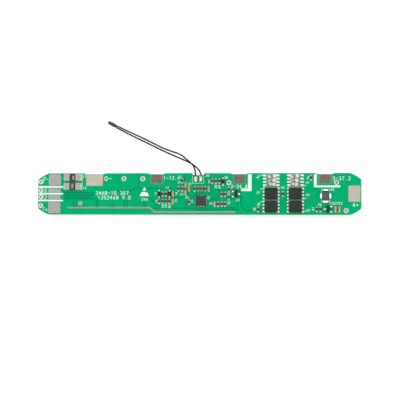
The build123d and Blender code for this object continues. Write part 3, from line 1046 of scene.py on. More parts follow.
        blob = mound(*half, height, self.blob_sides, self.blob_rings, squareness=4)
        foot_share = np.hypot(*(blob.points[:, :2] / (half * self.wetted)).T)
        blob = blob.moved(*land.centre[:2], land.low[2])
        foot = np.array([*land.centre[:2], land.low[2] + self.stub_foot])
        line = np.array([tip, (tip + foot) / 2, foot])
        turn = round_turn(self.stub_sides)
        circle = np.stack([np.cos(turn), 0 * turn, np.sin(turn)], axis=1) * self.stub_radius
        stub = Shape.turned(line[:, None] + circle)
        flux = np.append(smoothstep(*self.flux_span, foot_share), np.zeros(len(stub.points)))
        Shape.joined([blob, stub]).piece("thermistor_solder_%d" % number, "solder", node,
                                         HAND_SOLDER, rim=flux)

    def build(self) -> None:
        """Makes the bead, the leads and their solder."""
        bead = self.bead()
        for number, route in enumerate(self.routes, start=1):
            self.lead(number, route, bead)
            self.blob(number)


def distance_to(line: Array, x: Array, y: Array) -> Array:
    """The distance from each place to a line of straight runs.

    Each run's share at the nearest point is the offset's length along the run over the run's
    own, held between nought and one.

    Args:
        line: The line's points, with two coordinates.
        x: The places' X.
        y: The places' Y.

    Returns:
        The distances, in the shape of x.
    """
    line = np.asarray(line, float)
    nearest = np.full(x.shape, np.inf)
    for start, end in zip(line[:-1], line[1:]):
        run = end - start
        share = np.clip(((x - start[0]) * run[0] + (y - start[1]) * run[1]) / (run @ run), 0, 1)
        gap = np.hypot(x - start[0] - share * run[0], y - start[1] - share * run[1])
        nearest = np.minimum(nearest, gap)
    return nearest


def elbow(start: Sequence[float], end: Sequence[float]) -> Array:
    """A track between two places: straight, then at 45 degrees for the shorter offset.

    Args:
        start: Where the straight run begins.
        end: Where the slanted run ends.

    Returns:
        The track's points, with two coordinates.
    """
    start, end = np.asarray(start, float), np.asarray(end, float)
    offset = end - start
    short = np.min(np.abs(offset))
    bend = end - np.sign(offset) * short
    return np.array([start, bend, end] if short > TINY else [start, end])


@dataclass(frozen=True)
class Fan:
    """Six tracks side by side, given from the controller's middle.

    The side is a place on the controller's outline, in halves of its width, that the start is
    counted from. The spreads tell how far the start and the end move with each contact's place
    along it, and the step how far each end lies from the one before.
    """

    side: Pair
    start: Pair
    start_spread: Pair
    end: Pair
    end_spread: Pair
    end_step: Pair = (0.0, 0.0)


@dataclass
class BoardFace:
    """The masked upper face: copper under the mask stands proud of the etched lines.

    The notch is given by its middle, the widths of its floor and its mouth, and its depth. Each
    band is two corners and how far it is etched. Each field of plated holes is its two ends
    along X, its two along Y and how many lie in it.
    """

    half_length: float = 62.5
    half_width: float = 8.0
    corner_reach: float = 4.2
    corner_drop: float = 2.45
    corner_bulge: float = 0.26
    recess_depth: float = 0.4
    recess_margin: float = 0.25
    recess_slant: float = 0.9
    notch: tuple[float, float, float, float] = (0.045, 4.1, 5.0, 0.8)
    top: float = 1.6
    rim: float = 0.012
    etched_rise: float = 0.004
    copper_rise: float = 0.016
    columns: int = 740
    rows: int = 100
    line_width: float = 0.34
    blur: float = 0.1
    hole_clear: float = 0.72
    via_span: Pair = (0.12, 0.24)
    via_seed: int = 7
    via_fields: tuple[tuple[float, float, float, float, int], ...] = (
        (-13, 15, -6.3, 6.6, 26), (-50, 58, -6.6, 6.6, 18))
    lines: tuple[Line, ...] = (
        ((-23.16, 7.9), (-23.07, 2.8), (-26.35, 1.05), (-31.23, 1.05)),
        ((-23.1, 2.1), (-10.23, 2.1)),
        ((-52.96, 1.44), (-51.95, 0.51), (-40.2, 0.51)),
        ((-53.0, -0.1), (-52.2, -0.1), (-51.9, -0.2), (-39.75, -0.2)),
        ((-52.84, -2.45), (-52.1, -2.05), (-39.75, -2.05)),
        ((-52.1, -0.8), (-41.0, -0.8)), ((-52.1, -1.45), (-41.5, -1.45)),
        ((-19.12, -0.89), (-16.35, -3.59), (-14.6, -4.9)),
        ((-17.92, -2.43), (-15.56, -4.36), (-13.62, -4.74)),
        ((16.46, 1.05), (16.76, -3.95), (17.05, -4.9), (17.65, -5.68), (18.6, -6.3),
         (19.96, -6.56), (24.56, -6.63)),
        ((15.32, -1.26), (15.34, -4.72)),
        ((-48.5, -2.83), (-48.5, -4.96)), ((-47.3, -2.83), (-47.3, -4.96)),
        ((-44.18, -3.99), (-44.18, -5.1)), ((-43.0, -3.61), (-43.0, -5.1)),
        ((-39.5, -2.05), (-39.5, -4.96)), ((-38.9, -2.05), (-38.9, -4.96)),
        ((-34.6, -4.95), (-34.6, -5.3)), ((-33.25, -3.99), (-33.25, -5.1)),
        ((-28.4, -2.44), (-28.4, -4.95)), ((-27.43, -2.44), (-27.43, -4.95)),
        ((-20.8, -3.59), (-20.8, -4.94)), ((-20.03, -3.59), (-20.03, -4.94)),
        ((6.9, -6.1), (15.6, -6.1)), ((8.4, -5.4), (15.0, -5.4)),
        ((3.0, 7.9), (3.0, 5.6), (5.2, 3.4)), ((-5.1, 7.9), (-5.1, 5.2)),
        ((44.6, 3.0), (44.6, 2.1)), ((-17.3, -5.6), (-2.0, -5.6), (-1.2, -6.2), (6.2, -6.2)),
        ((-36.2, 7.6), (-36.2, 3.9)), ((-54.0, 6.0), (-53.4, 7.8)),
        ((13.5, 2.2), (14.6, 1.1), (16.4, 1.1)), ((-56.0, -7.9), (-53.0, -4.9)),
    )
    bands: tuple[tuple[float, float, float, float, float], ...] = (
        (-52.1, -2.05, -39.7, -0.2, 0.14), (-13.5, -6.4, 12.5, 6.9, 0.04),
        (-14.5, -2.6, -8.6, 1.6, 0.2), (34.2, -7.2, 34.8, 7.4, 0.2),
    )
    band_blur: float = 0.2
    beside_track: float = 0.5
    via_depth: float = 0.9
    contacts: int = 6
    contact_span: float = 1.25
    contact_clear: float = 0.25
    fans: tuple[Fan, ...] = (
        Fan((-1, 0), (0, 0), (0, 1), (-6.2, 0.8), (0, 2.6)),
        Fan((1, 0), (0, 0), (0, 1), (5.2, 0), (0, 2.6), (0.5, 0)),
        Fan((0, 1), (0, 0), (1, 0), (0, 3.6), (2.0, 0), (0, 0.2)),
        Fan((0, -1), (0, 0), (1, 0), (0, -3.5), (2.2, 0)),
        Fan((0, 0), (-13.2, 0.9), (2.6, 0), (-6.6, 3.1), (1.04, 0)),
        Fan((0, 0), (5.8, 8.9), (1.82, 0), (4.0, 5.6), (2.6, 0)),
        Fan((0, 0), (7.2, 4.2), (1.56, 0), (10.8, 0.8), (0.78, 0)),
    )

    def side(self, x: Array, far: bool) -> Array:
        """How far the board reaches across at each place along it.

        A cut corner is a shallow arc between the long edge and the end: a straight fall, less
        a parabola of the bulge. A recess takes off its depth, less along its slanted ends.

        Args:
            x: Places along the board.
            far: Whether the far edge, with its recesses, is meant.

        Returns:
            The distances from the middle line.
        """
        start = self.half_length - self.corner_reach
        share = np.clip((np.abs(x) - start) / self.corner_reach, 0, 1)
        upright = np.hypot(self.corner_reach, self.corner_drop) / self.corner_reach
        bulge = 4 * self.corner_bulge * upright * share * (1 - share)
        reach = self.half_width - self.corner_drop * share + bulge
        if far:
            for land in ("land_cell_negative", "land_tap_low", "land_tap_middle", "land_tap_high"):
                box = Box.of(land)
                floor = box.size[0] / 2 + self.recess_margin
                away = np.abs(x - box.centre[0])
                cut = np.clip((floor + self.recess_slant - away) / self.recess_slant, 0, 1)
                reach = reach - self.recess_depth * cut
            middle, floor, mouth, depth = self.notch
            cut = np.clip((mouth / 2 - np.abs(x - middle)) / ((mouth - floor) / 2), 0, 1)
            reach = reach - depth * cut
        return reach

    def tracks(self) -> list[Array]:
        """The controller's tracks, from each contact out to one of the chips round it.

        Returns:
            The tracks' points, with two coordinates.
        """
        controller = Box.of("controller_body")
        middle = controller.centre[:2]
        half = controller.size[0] / 2 + self.contact_clear
        lines = []
        places = np.linspace(-self.contact_span, self.contact_span, self.contacts)
        for number, along in enumerate(places):
            for fan in self.fans:
                start = np.array(fan.side) * half + fan.start + np.array(fan.start_spread) * along
                end = (np.array(fan.end) + np.array(fan.end_spread) * along
                       + np.array(fan.end_step) * number)
                lines.append(elbow(middle + start, middle + end))
        return lines

    def vias(self) -> Array:
        """Scatters the plated through holes under the mask by a fixed seed.

        Returns:
            Their places, with two coordinates.
        """
        chance = np.random.default_rng(self.via_seed)
        return np.concatenate([
            np.column_stack([chance.uniform(left, right, count), chance.uniform(near, far, count)])
            for left, right, near, far, count in self.via_fields])

    def etched(self, x: Array, y: Array) -> Array:
        """How far the copper is etched away: the deepest of the bands, lines, tracks and holes.

        Args:
            x: The places' X.
            y: The places' Y.

        Returns:
            A value from 0 to 1 for each place.
        """
        etched = np.zeros(x.shape)
        for low_x, low_y, high_x, high_y, depth in self.bands:
            inside = (between(low_x, high_x, self.band_blur, x)
                      * between(low_y, high_y, self.band_blur, y))
            etched = np.maximum(etched, depth * inside)
        half = self.line_width / 2
        for line in self.lines:
            gap = distance_to(line, x, y)
            etched = np.maximum(etched, 1 - smoothstep(half - self.blur, half + self.blur, gap))
        for line in self.tracks():
            gap = distance_to(line, x, y)
            beside = 1 - smoothstep(self.line_width, self.line_width + self.blur, gap)
            over = 1 - smoothstep(half - self.blur, half, gap)
            etched = np.maximum(etched, self.beside_track * beside) * (1 - over)
        for via_x, via_y in self.vias():
            gap = np.hypot(x - via_x, y - via_y)
            hollow = 1 - smoothstep(*self.via_span, gap)
            etched = np.maximum(etched, self.via_depth * hollow)
        return etched

    def build(self) -> None:
        """Makes the face as a surface over X and the share of the way across.

        Each line of points runs across from the near edge to the far one, and its two ends turn
        down to the laminate. What lies inside a wire hole is left out.
        """
        middle, floor, mouth, _ = self.notch
        bends = [middle + side * reach / 2 for side in (-1, 1) for reach in (floor, mouth)]
        along = np.union1d(np.linspace(-self.half_length + self.rim, self.half_length - self.rim,
                                       self.columns), bends)
        across = np.concatenate([[0], np.linspace(0, 1, self.rows), [1]])
        near, far = -self.side(along, False) + self.rim, self.side(along, True) - self.rim
        x = np.repeat(along[:, None], len(across), axis=1)
        y = near[:, None] + (far - near)[:, None] * across[None]
        etched = self.etched(x, y)
        z = self.top + self.etched_rise + (self.copper_rise - self.etched_rise) * (1 - etched)
        z[:, 0] = z[:, -1] = self.top - self.rim
        shape = Shape.grid(np.dstack([x, y, z]))
        middles = shape.points[shape.quads].mean(axis=1)
        keep = np.ones(len(middles), bool)
        for node in ("output_eyelets", "tap_eyelets"):
            for ring in solids_of(node):
                keep &= np.hypot(*(middles[:, :2] - ring.centre[:2]).T) > self.hole_clear
        shape.quads = shape.quads[keep]
        shape.piece("mask_upper_face", "solder_mask", smooth_below=40, etched=etched)


@dataclass
class Eyelets:
    """The plated wire holes: a rolled tin ring on each face and the barrel between them."""

    ring_radius: float = 0.95
    bore_radius: float = 0.46
    ring_rise: float = 0.13
    thickness: float = 1.6
    under: float = 0.008
    wall: float = 0.06
    mouth: float = 0.04
    lower_inset: float = 0.05
    crown_points: int = 9
    crown_power: float = 0.6
    bore_margin: float = 0.08
    outer_margin: float = 0.03
    outer_shade: float = 0.7
    sides: int = 32

    def profile(self) -> Array:
        """The section of a ring, whose crown rises by a power of the sine over half a turn.

        Returns:
            Radius and height from the upper ring's foot, over its crown, down the bore and out.
        """
        crown = np.radians(np.linspace(0, 180, self.crown_points))
        inner = self.bore_radius + self.wall
        middle, half = (self.ring_radius + inner) / 2, (self.ring_radius - inner) / 2
        rise = self.ring_rise * np.sin(crown) ** self.crown_power
        ring = np.column_stack([middle + half * np.cos(crown), self.thickness + rise])
        lower = self.ring_radius - self.lower_inset
        bore = [(self.bore_radius, self.thickness - self.wall), (self.bore_radius, self.wall),
                (self.bore_radius + self.mouth, -self.under), (lower, -self.under),
                (lower, self.under / 2), (inner, self.under / 2), (inner, self.thickness)]
        return np.concatenate([ring, bore])

    def build(self) -> None:
        """Turns the profile about each hole's axis, and shades the bore and the outer edge."""
        profile = self.profile()
        turn = round_turn(self.sides)
        bore = profile[:, 0] < self.bore_radius + self.bore_margin
        outer = profile[:, 0] > self.ring_radius - self.outer_margin
        shade = np.maximum(bore, self.outer_shade * outer)
        for node in ("output_eyelets", "tap_eyelets"):
            rings = []
            for ring in solids_of(node):
                x = ring.centre[0] + profile[:, :1] * np.cos(turn)
                y = ring.centre[1] + profile[:, :1] * np.sin(turn)
                z = np.tile(profile[:, 1:], self.sides)
                rings.append(Shape.grid(np.dstack([x, y, z])[:, ::-1], around=True, along=True))
            rim = np.tile(np.repeat(shade, self.sides), len(rings))
            Shape.joined(rings).piece("plated_" + node, "solder", node, RING_TIN, rim=rim)


@dataclass
class TinnedLands:
    """The bare lands: levelled tin, a little thicker along its edges than in the middle.

    The spans tell where the dish ends, the edge falls and the rim's colour sets in, each in rim
    widths from the edge.
    """

    nodes: tuple[str, ...] = (
        "land_output_negative", "land_output_positive", "land_signal_c", "land_signal_d",
        "land_cell_negative", "land_cell_positive", "land_tap_low", "land_tap_middle",
        "land_tap_high", "test_land")
    rim_width: float = 0.3
    dish: float = 0.015
    edge_drop: float = 0.5
    dish_span: Pair = (2.5, 0.6)
    drop_span: Pair = (0.12, 0.0)
    tone_span: Pair = (1.0, 0.3)
    squareness: float = 24
    sides: int = 72
    rings: int = 14

    def land(self, node: str, slot: str) -> None:
        """One land: its edge is rounded and its middle dished by a few hundredths.

        Args:
            node: The land's node.
            slot: Its material slot.
        """
        box = Box.of(node)
        half, thickness = box.size[:2] / 2, box.size[2]
        squareness = 2 if node == "test_land" else self.squareness
        dish, drop, tone = (1 - np.array(span) * self.rim_width / min(half)
                            for span in (self.dish_span, self.drop_span, self.tone_span))

        def height(x: Array, y: Array, share: Array) -> Array:
            """Full near the rim, dished within, and rounded down at the very edge."""
            dished = self.dish * (1 - smoothstep(*dish, share))
            return thickness - dished - self.edge_drop * thickness * smoothstep(*drop, share)

        shape = mound(*half, height, sides=self.sides, rings=self.rings, squareness=squareness)
        share = np.max(np.abs(shape.points[:, :2]) / half, axis=1)
        shape.moved(*box.centre[:2], box.low[2]).piece(
            "tinned_" + node, slot, node, rim=smoothstep(*tone, share))

    def build(self) -> None:
        """Makes every land in the finish of its slot."""
        slots = {entry["node"]: entry["material_slot"] for entry in frame["record"]["subparts"]}
        for node in self.nodes:
            self.land(node, slots[node])


@dataclass
class Rail:
    """The current rail: a bare copper track flooded with tin by hand, so its top is uneven.

    Its section is near half an ellipse. The height and the width swell and shrink along it by
    two slow sine waves, each with its depth, its pace and its start, and both shrink to nothing
    over the rounded ends.
    """

    places: Line = ((-50.8, -5.42), (-18.53, -5.42), (-16.68, -7.08), (14.57, -7.08))
    width: float = 0.6
    height: float = 0.16
    step: float = 0.3
    sides: int = 12
    end: float = 0.35
    end_points: int = 6
    end_least: float = 0.02
    waves: tuple[Triple, ...] = ((0.05, 1.9, 0), (0.04, 4.7, 1))
    width_share: float = 0.94
    width_swell: float = 0.4
    height_share: float = 0.9
    crown_power: float = 0.8

    def build(self) -> None:
        """Makes the bead of tin along the track."""
        corners = np.array(self.places)
        runs = np.hypot(*np.diff(corners, axis=0).T)
        marks = np.concatenate([[0], np.cumsum(runs)])
        ends = np.linspace(0, self.end, self.end_points)
        way = np.union1d(np.arange(self.end, marks[-1] - self.end, self.step), marks)
        way = np.unique(np.concatenate([ends, way, marks[-1] - ends]))
        line = np.column_stack([np.interp(way, marks, corners[:, axis]) for axis in (0, 1)])
        side = sideways(line)
        near_end = np.clip(np.minimum(way, marks[-1] - way) / self.end, self.end_least, 1)
        full = np.sqrt(1 - (1 - near_end) ** 2)
        swell = sum(depth * np.sin(pace * way + start) for depth, pace, start in self.waves)
        wide = self.width / 2 * full * (self.width_share + self.width_swell * swell)
        high = self.height * full * (self.height_share + swell)
        turn = np.radians(np.linspace(0, 180, self.sides))
        reach = wide[:, None] * np.cos(turn)
        rise = high[:, None] * np.sin(turn) ** self.crown_power
        points = np.dstack([line[:, :1] + side[:, :1] * reach, line[:, 1:] + side[:, 1:] * reach,
                            rise + Box.of("solder_rail").low[2]])
        Shape.turned(points).piece("tinned_rail", "tin", "solder_rail", RAIL_TIN)


@dataclass
class Solder:
    """Solder on lands, whose very edge is rounded down by a high power of the way out."""

    land: float = 0.08
    edge_drop: float = 0.6
    edge_power: float = 9

    def edge(self, share: Array) -> Array:
        """The share of the height that is left at each share of the way out."""
        return 1 - self.edge_drop * share ** self.edge_power

    @staticmethod
    def outward(solid: Solid, parts: Sequence[Solid]) -> Array:
        """Which way a joint faces: away from its part's middle, along the nearest side.

        Args:
            solid: The joint.
            parts: The parts that it may belong to.

        Returns:
            A direction along X or Y.
        """
        middles = np.array([part.centre[:2] for part in parts])
        sizes = np.array([part.size[:2] for part in parts])
        gaps = np.maximum(np.abs(middles - solid.centre[:2]) - sizes / 2, 0)
        own = int(np.argmin(np.hypot(*gaps.T)))
        offset = (solid.centre[:2] - middles[own]) / sizes[own]
        way = np.zeros(2)
        axis = int(np.argmax(np.abs(offset)))
        way[axis] = math.copysign(1.0, offset[axis])
        return way


@dataclass
class ChipSolder(Solder):
    """The joints of the chips, diodes, small transistors, fuse, shunts and controller.

    The kinds give each node, its piece's name, the nodes of the parts on it, the height at the
    part's face and how square its outline is.
    """

    edge_drop: float = 0.7
    bulge: float = 0.04
    fall_power: float = 1.5
    face_blur: float = 0.35
    small_below: float = 1.2
    coarse: tuple[int, int] = (20, 6)
    fine: tuple[int, int] = (36, 9)
    plate_above: float = 2.4
    kinds: tuple[tuple[str, str, tuple[str, ...], float, float], ...] = (
        ("chip_joints", "chip_solder", ("resistor_cores", "capacitor_cores"), 0.3, 4.5),
        ("lead_joints", "lead_solder", ("diode_bodies", "small_transistor_1_body",
                                        "small_transistor_2_body"), 0.24, 4.5),
        ("fuse_joints", "fuse_solder", ("fuse_tile",), 0.34, 7.0),
        ("shunt_joints", "shunt_solder", ("shunt_upper_element", "shunt_lower_element"), 0.42, 9.0),
        ("controller_joints", "controller_solder", ("controller_body",), 0.12, 4.0),
    )

    finishes: Mapping[str, Finish] = field(default_factory=lambda: {
        "chip_joints": CHIP_SOLDER, "controller_joints": CHIP_SOLDER,
        "shunt_joints": Finishes.of("shunt_metal")})

    def fillet(self, solid: Solid, way: Array, rise: float, squareness: float) -> Shape:
        """A joint's solder, highest at the part's face and thin at the land's far end.

        Outside the face, the height over the land falls as a power of the share of the way
        left to the end. The very edge is rounded down.

        Args:
            solid: The joint of the frame that it stands for.
            way: Which way the joint faces.
            rise: The height over the land at the part's face.
            squareness: How square the outline is.

        Returns:
            The joint in its place.
        """
        half = solid.size[:2] / 2
        face = float((solid.peak - solid.centre)[:2] @ way / (half @ np.abs(way)))
        small = max(solid.size[:2]) < self.small_below

        def height(x: Array, y: Array, share: Array) -> Array:
            """The hollow fall from the face, under the part level with the land.

            Args:
                x: The offsets along X over the half size.
                y: The offsets along Y over the half size.
                share: The shares of the way out.

            Returns:
                The heights.
            """
            along = x * way[0] + y * way[1]
            left = np.clip((1 - along) / (1 - face), 0, 1)
            outside = smoothstep(face - self.face_blur, face, along)
            run = (rise - self.land) * left ** self.fall_power + self.bulge * (1 - share ** 2)
            return (self.land + run * outside) * self.edge(share)

        sides, rings = self.coarse if small else self.fine
        return mound(*half, height, sides, rings, squareness).moved(*solid.centre[:2],
                                                                    solid.low[2])

    def build(self) -> None:
        """Makes each kind of joint as one piece that stands for its node."""
        for node, name, part_nodes, rise, squareness in self.kinds:
            parts = [part for kind in part_nodes for part in solids_of(kind)]
            shapes = []
            for solid in solids_of(node):
                if max(solid.size[:2]) > self.plate_above and node == "controller_joints":
                    shapes.append(slab(solid.low, (*solid.high[:2], solid.low[2] + self.land)))
                else:
                    shapes.append(self.fillet(solid, self.outward(solid, parts), rise, squareness))
            Shape.joined(shapes).piece(name, "solder", node, self.finishes.get(node))


@dataclass
class PowerSolder(Solder):
    """The power packages' solder: a drain plate under each and a domed toe at every lead."""

    plate_length: float = 3.35
    finger_length: float = 1.45
    finger_width: float = 0.75
    finger_sides: int = 28
    finger_rings: int = 10
    leads: int = 4
    lead_pitch: float = 1.27
    toe: float = 0.29
    body_out: float = 0.77
    plate_from: float = 2.5
    plate_inset: float = 0.06
    plate_corner: float = 0.12
    dome_power: float = 4

    def domed(self, length: float, toe: float) -> Callable[[Array, Array, Array], Array]:
        """A height that stays level under the body and swells to a dome outside it.

        Args:
            length: The joint's length, whose outer end lies towards +X.
            toe: The dome's height over the land.

        Returns:
            The height's function.
        """
        face = 1 - 2 * self.body_out / length

        def height(x: Array, y: Array, share: Array) -> Array:
            """A rounded pillow outside the face, by powers of both offsets.

            Args:
                x: The offsets along X over the half size.
                y: The offsets along Y over the half size.
                share: The shares of the way out.

            Returns:
                The heights.
            """
            across = np.clip((x - face) / (1 - face) * 2 - 1, -1, 1)
            dome = pillow(across, y, self.dome_power) * (x > face)
            return self.land * self.edge(share) + toe * dome

        return height

    def finger(self, outer: Array, way: float, base: float, length: float, toe: float) -> Shape:
        """One lead's joint: from its outer end inwards.

        Args:
            outer: The middle of its outer end.
            way: 1 where the outer end lies towards +X, or -1.
            base: The board's face.
            length: Its length.
            toe: The dome's height over the land.

        Returns:
            The joint in its place.
        """
        shape = mound(length / 2, self.finger_width / 2, self.domed(length, toe),
                      self.finger_sides, self.finger_rings, squareness=4)
        return shape.moved(outer[0] - way * length / 2, outer[1], base, 0 if way > 0 else 180)

    def plate(self, solid: Solid, way: float, height: Callable[[Array, Array], Array]) -> Shape:
        """The drain plate's solder, at the inner end of the solid.

        Args:
            solid: The joint of the frame, plate and fingers.
            way: 1 where the fingers' outer ends lie towards +X, or -1.
            height: The heights over the plate.

        Returns:
            The plate in its place.
        """
        middle = solid.low[0] if way > 0 else solid.high[0]
        half = self.plate_length / 2
        shape = pad(half, solid.size[1] / 2 - self.plate_inset, height, columns=28, rows=34,
                    corner=self.plate_corner)
        return shape.moved(middle + way * half, solid.centre[1], solid.low[2])

    def place(self, solids: Sequence[Solid], parts: Sequence[Solid], toe: float,
              height: Callable[[Array, Array], Array]) -> list[Shape]:
        """All the joints of a node, wide ones as a plate with four fingers.

        Args:
            solids: The joints.
            parts: The packages that they belong to.
            toe: The domes' height over the land.
            height: The heights over the plates.

        Returns:
            The joints in their places.
        """
        shapes = []
        for solid in solids:
            wide = solid.size[0] > self.plate_from
            way = self.outward(solid, parts)[0]
            outer = solid.high[0] if way > 0 else solid.low[0]
            count = self.leads if wide else 1
            rows = (np.arange(count) - (count - 1) / 2) * self.lead_pitch
            length = self.finger_length if wide else solid.size[0]
            for row in rows:
                end = np.array([outer, solid.centre[1] + row])
                shapes.append(self.finger(end, way, solid.low[2], length, toe))
            if wide:
                shapes.append(self.plate(solid, way, height))
        return shapes

    def build(self) -> None:
        """Makes the joints of the four packages."""
        parts = [part for number in (1, 2, 3, 4)
                 for part in solids_of("power_transistor_%d_body" % number)]
        shapes = self.place(solids_of("power_joints"), parts, self.toe,
                            lambda x, y: np.full(x.shape, self.land))
        Shape.joined(shapes).piece("power_solder", "solder", "power_joints")


@dataclass
class SpareLands(PowerSolder):
    """The two places without a package: paste melted into domes and lumps on the bare lands."""

    toe: float = 0.15
    body_out: float = 1.44
    lump: float = 0.16
    lump_rows: int = 3
    lump_power: float = 2.6
    lump_mean: float = 0.8
    lump_swell: float = 0.3
    lump_paces: Triple = (2.1, 1.3, 1.7)
    plate_share: float = 0.9
    foot: float = 0.03
    plate_width: float = 4.56
    # Heights over the plate across which the hollows take the darker colour, which is partly
    # painted shade.
    hollow_span: Pair = (0.03, 0.14)

    def lumps(self, x: Array, y: Array) -> Array:
        """Six low pillows in two columns, uneven by a slow wave, on the plate.

        Args:
            x: The places' X from the plate's middle.
            y: The places' Y from the plate's middle.

        Returns:
            The heights.
        """
        u = (2 * x / self.plate_length + 1) % 1 * 2 - 1
        v = (2 * y / self.plate_width + 1) * self.lump_rows / 2 % 1 * 2 - 1
        along, across, beat = self.lump_paces
        wave = np.sin(along * x + across * y) * np.cos(beat * y)
        uneven = self.lump_mean + self.lump_swell * wave
        return self.plate_share * self.land + self.lump * pillow(u, v, self.lump_power) * uneven

    def build(self) -> None:
        """Makes both places."""
        for side, below in (("left", 1), ("right", 3)):
            node = "spare_lands_" + side
            lands = solids_of(node)
            package = solids_of("power_transistor_%d_body" % below)[0]
            wide = max(lands, key=lambda land: land.size[1])
            rise = np.array([0, wide.centre[1] - package.centre[1], 0])
            moved = Solid(package.low + rise, package.high + rise, package.peak + rise)
            shape = Shape.joined(self.place(lands, [moved], self.toe, self.lumps))
            height = shape.points[:, 2] - wide.low[2] - self.land
            # The hollows between the lumps take the finish's darker rim colour: thin pinkish tin,
            # and painted shade.
            hollow = (1 - smoothstep(*self.hollow_span, height)) * (height > -self.foot)
            shape.piece("melted_" + side, "solder", node, PASTE_TIN_SHADED_HOLLOWS, rim=hollow)


@dataclass
class PackageFaces:
    """What is laid on the packages' faces: the shunts' bare windows and the hood's recess."""

    windows_at: tuple[tuple[str, float, float, float, float], ...] = (
        ("upper", 0.35, -0.15, 0.95, 1.6), ("lower", 0.0, 0.05, 0.85, 2.0))
    window_rise: float = 0.015
    window_sink: float = 0.02
    window_corner: float = 0.15
    hood_rim: float = 0.3
    hood_step: float = 0.12
    hood_depth: float = 0.05
    hood_round: float = 0.09
    hood_corner: float = 0.1

    def windows(self) -> None:
        """The strip's bare alloy, which the coat leaves open on its upper face."""
        for side, x, y, length, width in self.windows_at:
            coat = Box.of("shunt_%s_coat" % side)
            middle = coat.centre[:2] + (x, y)
            half = np.array([length, width]) / 2
            shape = slab((*(middle - half), coat.high[2] - self.window_sink),
                         (*(middle + half), coat.high[2] + self.window_rise),
                         self.window_corner)
            shape.piece("shunt_%s_window" % side, "shunt_metal", finish=BARE_ALLOY)

    def hood(self) -> None:
        """The fuse's moulded hood: a raised rim round a shallow field."""
        box = Box.of("fuse_cap")
        half = box.size[:2] / 2

        def height(x: Array, y: Array) -> Array:
            """Full at the rim, lower within it, and rounded down at the outer edge.

            Args:
                x: The places' X from the hood's middle.
                y: The places' Y from the hood's middle.

            Returns:
                The heights.
            """
            inset = np.minimum(half[0] - np.abs(x), half[1] - np.abs(y))
            within = smoothstep(self.hood_rim, self.hood_rim + self.hood_step, inset)
            rounded = self.hood_round * (1 - np.clip(inset / self.hood_step, 0, 1)) ** 2
            return box.size[2] - self.hood_depth * within - rounded

        shape = pad(*half, height, columns=40, rows=48, corner=self.hood_corner)
        inset = np.min(half - np.abs(shape.points[:, :2]), axis=1)
        shape.moved(*box.centre[:2], box.low[2]).piece(
            "fuse_hood_shell", "fuse_hood", "fuse_cap", smooth_below=50,
            rim=1 - smoothstep(self.hood_rim, self.hood_rim + self.hood_step, inset))

    def build(self) -> None:
        """Makes the windows and the hood."""
        self.windows()
        self.hood()


def bow(x: float, y: float, wide: float, high: float, start: float, end: float) -> list:
    """Points on an elliptic arc between two angles in degrees, at least one for each 30."""
    turn = np.radians(np.linspace(start, end, 3 + int(abs(end - start) / 30)))
    return np.column_stack([x + wide * np.cos(turn), y + high * np.sin(turn)]).tolist()


STROKES: Mapping[str, Sequence[list]] = {
    "0": [bow(0.3, 0.5, 0.3, 0.5, 90, 450)],
    "1": [[[0.08, 0.76], [0.34, 1.0], [0.34, 0.0]]],
    "2": [bow(0.3, 0.71, 0.29, 0.29, 160, -40) + [[0.0, 0.0], [0.6, 0.0]]],
    "3": [bow(0.28, 0.75, 0.27, 0.25, 150, -90), bow(0.28, 0.25, 0.31, 0.25, 90, -150)],
    "4": [[[0.45, 0.0], [0.45, 0.96]], [[0.45, 1.0], [0.0, 0.3], [0.62, 0.3]]],
    "5": [[[0.56, 1.0], [0.1, 1.0], [0.06, 0.56]] + bow(0.27, 0.31, 0.31, 0.31, 110, -150)],
    "6": [bow(0.3, 0.3, 0.29, 0.3, 0, 360), [[0.5, 1.0], [0.14, 0.66], [0.02, 0.34]]],
    "7": [[[0.0, 1.0], [0.6, 1.0], [0.2, 0.0]]],
    "8": [bow(0.3, 0.75, 0.24, 0.25, 0, 360), bow(0.3, 0.26, 0.3, 0.26, 0, 360)],
    "9": [bow(0.3, 0.7, 0.29, 0.3, 0, 360), [[0.58, 0.66], [0.46, 0.3], [0.12, 0.0]]],
    "+": [[[0.0, 0.5], [0.6, 0.5]], [[0.3, 0.2], [0.3, 0.8]]],
    "-": [[[0.0, 0.5], [0.6, 0.5]]],
    ".": [[[0.22, 0.03], [0.38, 0.03]]],
}


